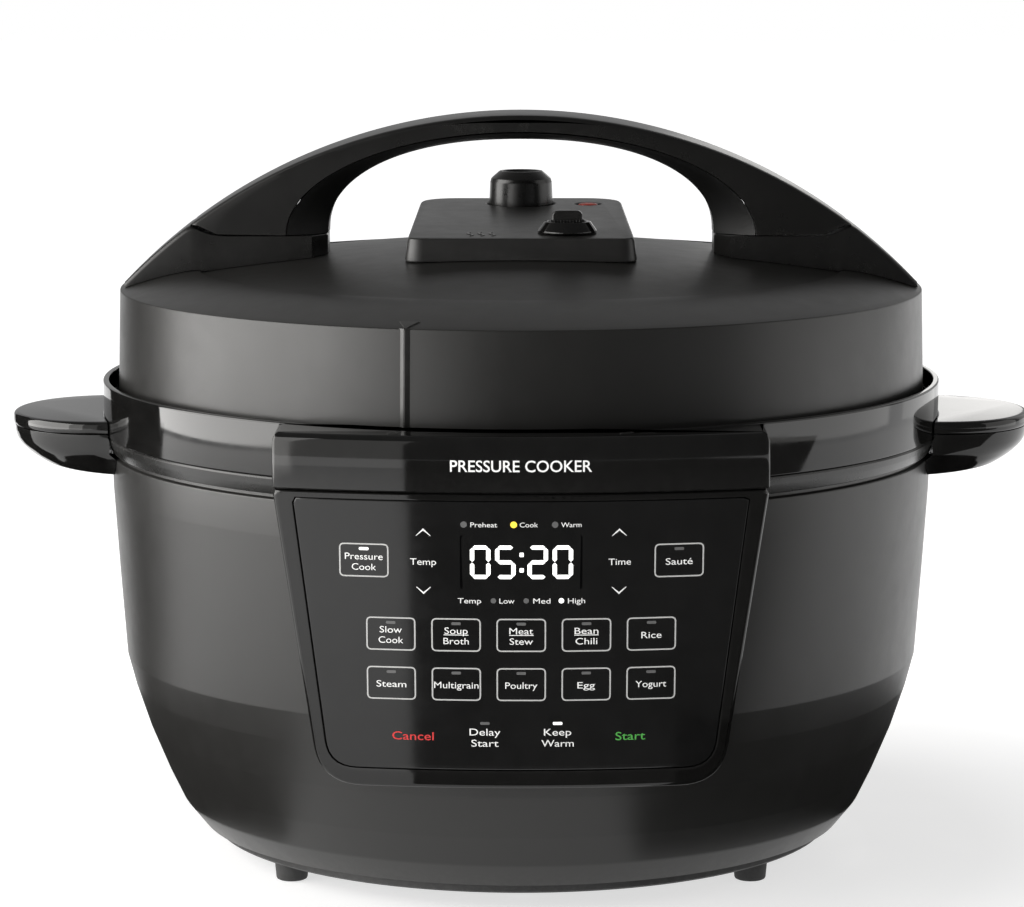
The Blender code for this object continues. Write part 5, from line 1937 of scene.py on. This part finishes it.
@dataclass
class VentCover:
    """Raised cover over the valves, with the release lever, the knob and the float pin."""

    front: float = -57.5
    back: float = 87.0
    knob: Plan = (0.0, 67.0)
    float_at: Plan = (29.5, 64.0)
    lever: Plan = (19.2, -39.0)

    def outline(self, grow: float) -> list[Plan]:
        """Plan of the cover, that much larger all round.

        Args:
            grow: how much larger.

        Returns:
            The outline.
        """
        front, back = self.front - grow, self.back + grow
        corners = [(-46.2 - grow, front), (46.2 + grow, front), (43.6 + grow, back), (-43.6 - grow, back)]
        return fillet(corners, [6.0 + grow, 6.0 + grow, 17.0 + grow, 17.0 + grow], True, 12)

    def build(self) -> None:
        """Makes the cover and everything that stands in it."""
        levels = ((-1.2, -26.0), (-1.0, -13.0), (1.3, -10.0), (1.75, -9.4), (1.8, -8.9), (0.8, -1.3),
                  (0.45, -0.45),
                  (0.0, -0.08), (-0.5, 0.0))
        rings = [[(x, y, cover_top(y) + level) for x, y in self.outline(grow)] for grow, level in levels]
        cutters = [dome_blank(0.3)]
        for (x, y), radius in ((self.knob, 15.3), (self.float_at, 6.0), (self.lever, 9.0)):
            z = cover_top(y)
            well = [(0.0, z + 20.0), (radius + 0.5, z + 20.0), (radius + 0.5, z + 0.3), (radius, z - 0.5),
                    (radius, 240.0), (0.0, 240.0)]
            cutters.append(Shaper.turned("well", well, 96, centre=(x, y)))
        mesh = Bench.carved(Shaper.skinned("vent_cover", rings), cutters)
        Bench.piece("vent_cover_moulding", mesh, LOOKS.cover, Part.LID, ("vent_cover",), Shading.CRISP)
        self._steam_mark()
        self._collar()
        self._lever()
        self._knob()
        self._float()

    def _steam_mark(self) -> None:
        """Raises a small steam sign, three wavy plumes, beside the lever."""
        plumes = []
        for x0 in (-21.0, -16.5, -12.0):
            left, right = [], []
            for t in spread(0.0, 1.0, 16):
                y = -50.0 + 11.0 * t
                x = x0 + 1.1 * math.sin(t * math.tau)
                wide = 0.25 + 0.35 * math.sin(math.pi * t)
                left.append((x - wide, y))
                right.append((x + wide, y))
            outline = left + right[::-1]
            rings = [[(x, y, cover_top(y) - 0.05) for x, y in outline],
                     [(x, y, cover_top(y) + 0.25) for x, y in outline]]
            plumes.append(Shaper.skinned("plume", rings))
        Bench.piece("steam_sign", Bench.gathered("steam_sign", plumes), LOOKS.knob, Part.LID)

    def _collar(self) -> None:
        """Turns the collar round the lever."""
        x, y = self.lever
        z = cover_top(y)
        section = [(8.0, z + 4.9), (9.6, z + 4.9), (12.3, z + 1.1), (12.3, z + 0.4), (8.0, z + 0.4)]
        mesh = Shaper.turned("collar", fillet(section, [0.3, 0.8, 0.4, 0.2, 0.0]), 96, closed=True,
                             centre=(x, y))
        Bench.piece("lever_collar", mesh, LOOKS.gloss, Part.LID, ("release_collar",))

    def _lever(self) -> None:
        """Makes the tab with its finger ribs and the wider step at its foot."""
        x, y = self.lever
        z = cover_top(y)
        tab = fillet([(-6.3, -6.0), (6.3, -6.0), (6.4, 9.4), (-6.4, 9.4)], [0.6, 0.6, 2.8, 2.8], True, 8)
        rings = [[(x + u * s, y + d, z + v) for u, v in inset_outline(tab, i)]
                 for d, i, s in ((-2.3, 0.55, 1.0), (-2.1, 0.15, 1.0), (-1.7, 0.0, 1.0), (1.7, 0.0, 1.0),
                                 (2.1, 0.15, 1.0), (2.3, 0.55, 1.0))]
        parts = [Shaper.skinned("tab", rings)]
        step = fillet([(-7.3, -2.3), (7.3, -2.3), (7.3, 2.3), (-7.3, 2.3)], 0.6)
        parts.append(Shaper.slab("step", [(x + u, y + v) for u, v in step], z - 6.0, z + 5.7, 0.4))
        for k in range(9):
            cx = x - 5.2 + 1.3 * k
            parts.append(Shaper.slab("rib",
                                     fillet([(cx - 0.3, y - 2.55), (cx + 0.3, y - 2.55), (cx + 0.3, y - 2.2),
                                                    (cx - 0.3, y - 2.2)], 0.1), z + 3.0, z + 5.6, 0.1))
        Bench.piece("lever_tab", Bench.gathered("lever", parts), LOOKS.knob, Part.LEVER, ("release_lever",),
                    Shading.CRISP)

    def _knob(self) -> None:
        """Turns the steam valve knob, with its flared shoulder and the dish in its top."""
        base = cover_top(self.knob[1])
        section = [(0.0, base + 12.4), (6.2, base + 12.4), (7.4, base + 13.2), (8.2, base + 14.4),
                   (9.4, base + 14.4),
                   (11.2, base + 12.9), (13.1, base + 11.2), (13.6, base + 9.6), (14.0, base + 1.0),
                   (14.0, base - 1.6), (11.8, base - 1.6), (11.8, base + 9.0), (0.0, base + 9.0)]
        bends = [0.0, 0.8, 0.8, 0.5, 0.6, 0.6, 1.2, 2.0, 1.0, 0.5, 0.3, 0.5, 0.0]
        mesh = Shaper.turned("knob", fillet(section, bends, False, 5), 96, centre=self.knob)
        Bench.piece("valve_knob", mesh, LOOKS.knob, Part.VALVE, ("steam_valve_knob",))

    def _float(self) -> None:
        """Turns the float pin."""
        top = cover_top(self.float_at[1])
        pin = [(0.0, top + 0.3), (3.5, top + 0.3), (4.1, top - 0.1), (4.2, top - 0.5), (4.2, top - 2.4),
               (2.4, top - 2.4), (2.4, 231.5), (4.4, 231.5), (4.4, 229.2), (4.1, 229.0), (0.0, 229.0)]
        Bench.piece("float_indicator", Shaper.turned("pin", pin, 56, centre=self.float_at), LOOKS.red,
                    Part.FLOAT,
                    ("float_pin",))


# -------------------------------------------------------------------- studio


class Softbox(Enum):
    """The studio's lamps.

    Each has the bearings of both edges in degrees from the front, its distance, bottom, top and radiance.
    """

    KEY_LEFT = (-112.0, -47.0, 1.40, 0.02, 1.25, 5.6)
    KEY_EDGE = (-47.0, -31.0, 1.40, 0.02, 1.25, 2.6)
    FRONT_LEFT = (-31.0, -16.0, 1.55, 0.02, 1.15, 0.7)
    FILL_RIGHT = (64.0, 112.0, 1.40, 0.02, 1.10, 0.8)
    RIM_RIGHT = (120.0, 150.0, 1.40, 0.02, 1.10, 0.35)
    BACK_RIGHT = (163.0, 172.0, 1.40, 0.22, 0.62, 1.2)


@dataclass(frozen=True)
class Card:
    """A dark card that keeps the gloss parts dark; only reflections see it."""

    name: str
    corners: tuple[Spot, ...]
    glow: float = 0.0


SHADOW_APRON_REACH = (0.150, 0.315)
CARD_LIFT = 0.001
LAMP_TINT = (1.0, 0.985, 0.96)


def shadow_apron(name: str, start: float, stop: float) -> Card:
    """A dark ring on the floor round the foot of the cooker, between two bearings: a painted contact shadow
    that only reflections see.

    Args:
        name: name of the card.
        start: bearing where it starts.
        stop: bearing where it stops.

    Returns:
        The card.
    """
    inner = [polar(SHADOW_APRON_REACH[0], a) for a in spread(start, stop, 16)]
    outer = [polar(SHADOW_APRON_REACH[1], a) for a in spread(stop, start, 16)]
    return Card(name, tuple((x, y, CARD_LIFT) for x, y in inner + outer))


CARDS = (
    Card("back_left", ((-1.02, 0.30, 0.0), (-0.64, 0.84, 0.0), (-0.64, 0.84, 0.72), (-1.02, 0.30, 0.72))),
    Card("floor_left",
         ((-0.28, 0.05, 0.001), (-1.60, 0.50, 0.001), (-1.02, 1.22, 0.001), (-0.25, 0.16, 0.001))),
    Card("front", ((-0.06, -0.22, 0.001), (1.60, -0.22, 0.001), (3.20, -7.0, 0.001), (-2.00, -7.0, 0.001)),
         0.10),
    # Painted contact shadow round the foot, seen only in the lower body's reflections.
    shadow_apron("shadow_apron_left", -140.0, -50.0),
    shadow_apron("shadow_apron_right", 22.0, 140.0),
)


@dataclass
class Studio:
    """Pale floor, lamps, surroundings and the camera."""

    camera_back: float = 1.6585
    camera_height: float = 0.4132
    pitch_deg: float = 8.47
    lens_mm: float = 137.4
    shift: float = -0.0088
    floor_half: float = 8.0
    dome_radius: float = 12.0
    floor_glow: Plan = (0.66, 1.0)
    floor_shadow_reach: Plan = (0.20, 0.42)

    def build(self) -> None:
        """Sets up the studio."""
        self._floor()
        self._backdrop()
        self._surroundings()
        for lamp in Softbox:
            self._softbox(lamp)
        for card in CARDS:
            self._card(card)
        self._camera()
        bpy.context.scene.view_settings.view_transform = "Standard"

    def _floor(self) -> None:
        """Lays the floor just under the feet, with a painted shadow round the cooker."""
        h = self.floor_half
        mesh = bpy.data.meshes.new("floor")
        mesh.from_pydata([(-h, -h, -0.0002), (h, -h, -0.0002), (h, h, -0.0002), (-h, h, -0.0002)], [],
                         [(0, 1, 2, 3)])
        sheet = NodeSheet("studio_floor")
        place = sheet.place()
        tone = sheet.noise(place, 900.0, 2.0)
        sheet.link(sheet.blend(tone, (0.44, 0.44, 0.44), (0.48, 0.48, 0.48)),
                   sheet.shader.inputs["Base Color"])
        sheet.link(sheet.spread(sheet.noise(place, 40.0), 0.5, 0.7), sheet.shader.inputs["Roughness"])
        sheet.set("Specular IOR Level", 0.1)
        sheet.set("Emission Color", (1.0, 1.0, 1.0, 1.0))
        # Painted shadow: the glow falls from 1.0 to 0.66 between 0.42 and 0.20 m from the middle, greying the
        # floor round the cooker on top of its real shadows.
        away = sheet.node("VectorMath", operation="LENGTH")
        sheet.link(place, away.inputs[0])
        glow = sheet.spread(away.outputs["Value"], *self.floor_glow, *self.floor_shadow_reach)
        sheet.link(glow, sheet.shader.inputs["Emission Strength"])
        self._stage("studio_floor", mesh, sheet.material)

    def _backdrop(self) -> None:
        """Hangs a pale dome round the set, which only the camera sees."""
        rings = []
        for a in spread(-8.0, 86.0, 16):
            r, z = self.dome_radius * math.cos(math.radians(a)), self.dome_radius * math.sin(math.radians(a))
            rings.append((r, z))
        mesh = bpy.data.meshes.new("backdrop")
        points, faces = [], []
        for r, z in rings:
            points += [(r * math.cos(t), r * math.sin(t), z) for t in spread(0.0, math.tau, 48)[:-1]]
        for row in range(len(rings) - 1):
            for i in range(48):
                j = (i + 1) % 48
                faces.append((row * 48 + i, row * 48 + j, row * 48 + 48 + j, row * 48 + 48 + i))
        mesh.from_pydata(points, [], faces)
        sheet = NodeSheet("studio_backdrop")
        sheet.set("Emission Color", (1.0, 1.0, 1.0, 1.0))
        sheet.set("Emission Strength", 1.0)
        sheet.set("Base Color", (0.0, 0.0, 0.0, 1.0))
        sheet.set("Roughness", 1.0)
        sheet.set("Specular IOR Level", 0.0)
        made = self._stage("studio_backdrop", mesh, sheet.material)
        for ray in ("diffuse", "glossy", "transmission", "volume_scatter", "shadow"):
            setattr(made, "visible_" + ray, False)

    @staticmethod
    def _stage(name: str, mesh: bpy.types.Mesh, material: bpy.types.Material) -> bpy.types.Object:
        """Adds a piece of the set.

        Args:
            name: its name.
            mesh: its mesh.
            material: its material.

        Returns:
            The object.
        """
        mesh.materials.append(material)
        made = bpy.data.objects.new(name, mesh)
        bpy.context.scene.collection.objects.link(made)
        return made

    @staticmethod
    def _surroundings() -> None:
        """Lights the set from all round: dim in front, pale behind."""
        world = bpy.data.worlds.new("studio_room")
        world.use_nodes = True
        tree = world.node_tree
        sky = tree.nodes["Background"]
        where = tree.nodes.new("ShaderNodeTexCoord")
        parts = tree.nodes.new("ShaderNodeSeparateXYZ")
        ramp = tree.nodes.new("ShaderNodeMapRange")
        ramp.interpolation_type = "SMOOTHSTEP"
        for key, value in (("From Min", 0.2), ("From Max", 0.9), ("To Min", 0.12), ("To Max", 0.42)):
            ramp.inputs[key].default_value = value
        tree.links.new(where.outputs["Generated"], parts.inputs[0])
        tree.links.new(parts.outputs["Y"], ramp.inputs["Value"])
        tree.links.new(ramp.outputs["Result"], sky.inputs["Strength"])
        sky.inputs["Color"].default_value = (1.0, 1.0, 1.0, 1.0)
        bpy.context.scene.world = world

    @staticmethod
    def _softbox(lamp: Softbox) -> None:
        """Hangs one softbox.

        Args:
            lamp: which one.
        """
        start, stop, away, low, high, radiance = lamp.value
        ends = [Vector(polar(away, bearing)) for bearing in (start, stop)]
        middle = (ends[0] + ends[1]) / 2.0
        data = bpy.data.lights.new(lamp.name.lower(), "AREA")
        data.shape = "RECTANGLE"
        data.size, data.size_y = (ends[1] - ends[0]).length, high - low
        data.energy = radiance * math.pi * data.size * data.size_y
        data.color = LAMP_TINT
        made = bpy.data.objects.new(lamp.name.lower(), data)
        made.location = (middle.x, middle.y, (low + high) / 2.0)
        made.rotation_euler = Vector((-middle.x, -middle.y, 0.0)).to_track_quat("-Z", "Y").to_euler()
        made.visible_camera = False
        bpy.context.scene.collection.objects.link(made)

    def _card(self, card: Card) -> None:
        """Lays or stands up one dark card, which only reflections see.

        Args:
            card: which one.
        """
        mesh = bpy.data.meshes.new("card")
        mesh.from_pydata(list(card.corners), [], [tuple(range(len(card.corners)))])
        sheet = NodeSheet("studio_card_" + card.name)
        sheet.set("Base Color", (0.01, 0.01, 0.01, 1.0))
        sheet.set("Roughness", 0.9)
        sheet.set("Specular IOR Level", 0.0)
        sheet.set("Emission Color", (1.0, 0.98, 0.95, 1.0))
        sheet.set("Emission Strength", card.glow)
        made = self._stage("card_" + card.name, mesh, sheet.material)
        for ray in ("camera", "diffuse", "transmission", "volume_scatter", "shadow"):
            setattr(made, "visible_" + ray, False)

    def _camera(self) -> None:
        """Stands the camera in front, a little above the lid."""
        data = bpy.data.cameras.new("front_camera")
        data.lens = self.lens_mm
        data.shift_x = self.shift
        made = bpy.data.objects.new("front_camera", data)
        made.location = (0.0, AXIS_Y * MM - self.camera_back, self.camera_height)
        made.rotation_euler = (math.radians(90.0 - self.pitch_deg), 0.0, 0.0)
        bpy.context.scene.collection.objects.link(made)
        bpy.context.scene.camera = made


def main() -> None:
    """Builds the whole cooker and its studio."""
    logging.basicConfig(level=logging.INFO, format="%(name)s: %(message)s")
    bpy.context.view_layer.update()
    housing = Housing()
    housing.build()
    SideGrips(housing).build()
    HeatingWell().build()
    Inlet().build()
    Electronics().build()
    ControlPanel().build(housing)
    PanelPrint().build()
    CookingPot().build()
    Lid().build()
    CarryHandle().build()
    VentCover().build()
    Studio().build()


if __name__ == "__main__":
    main()
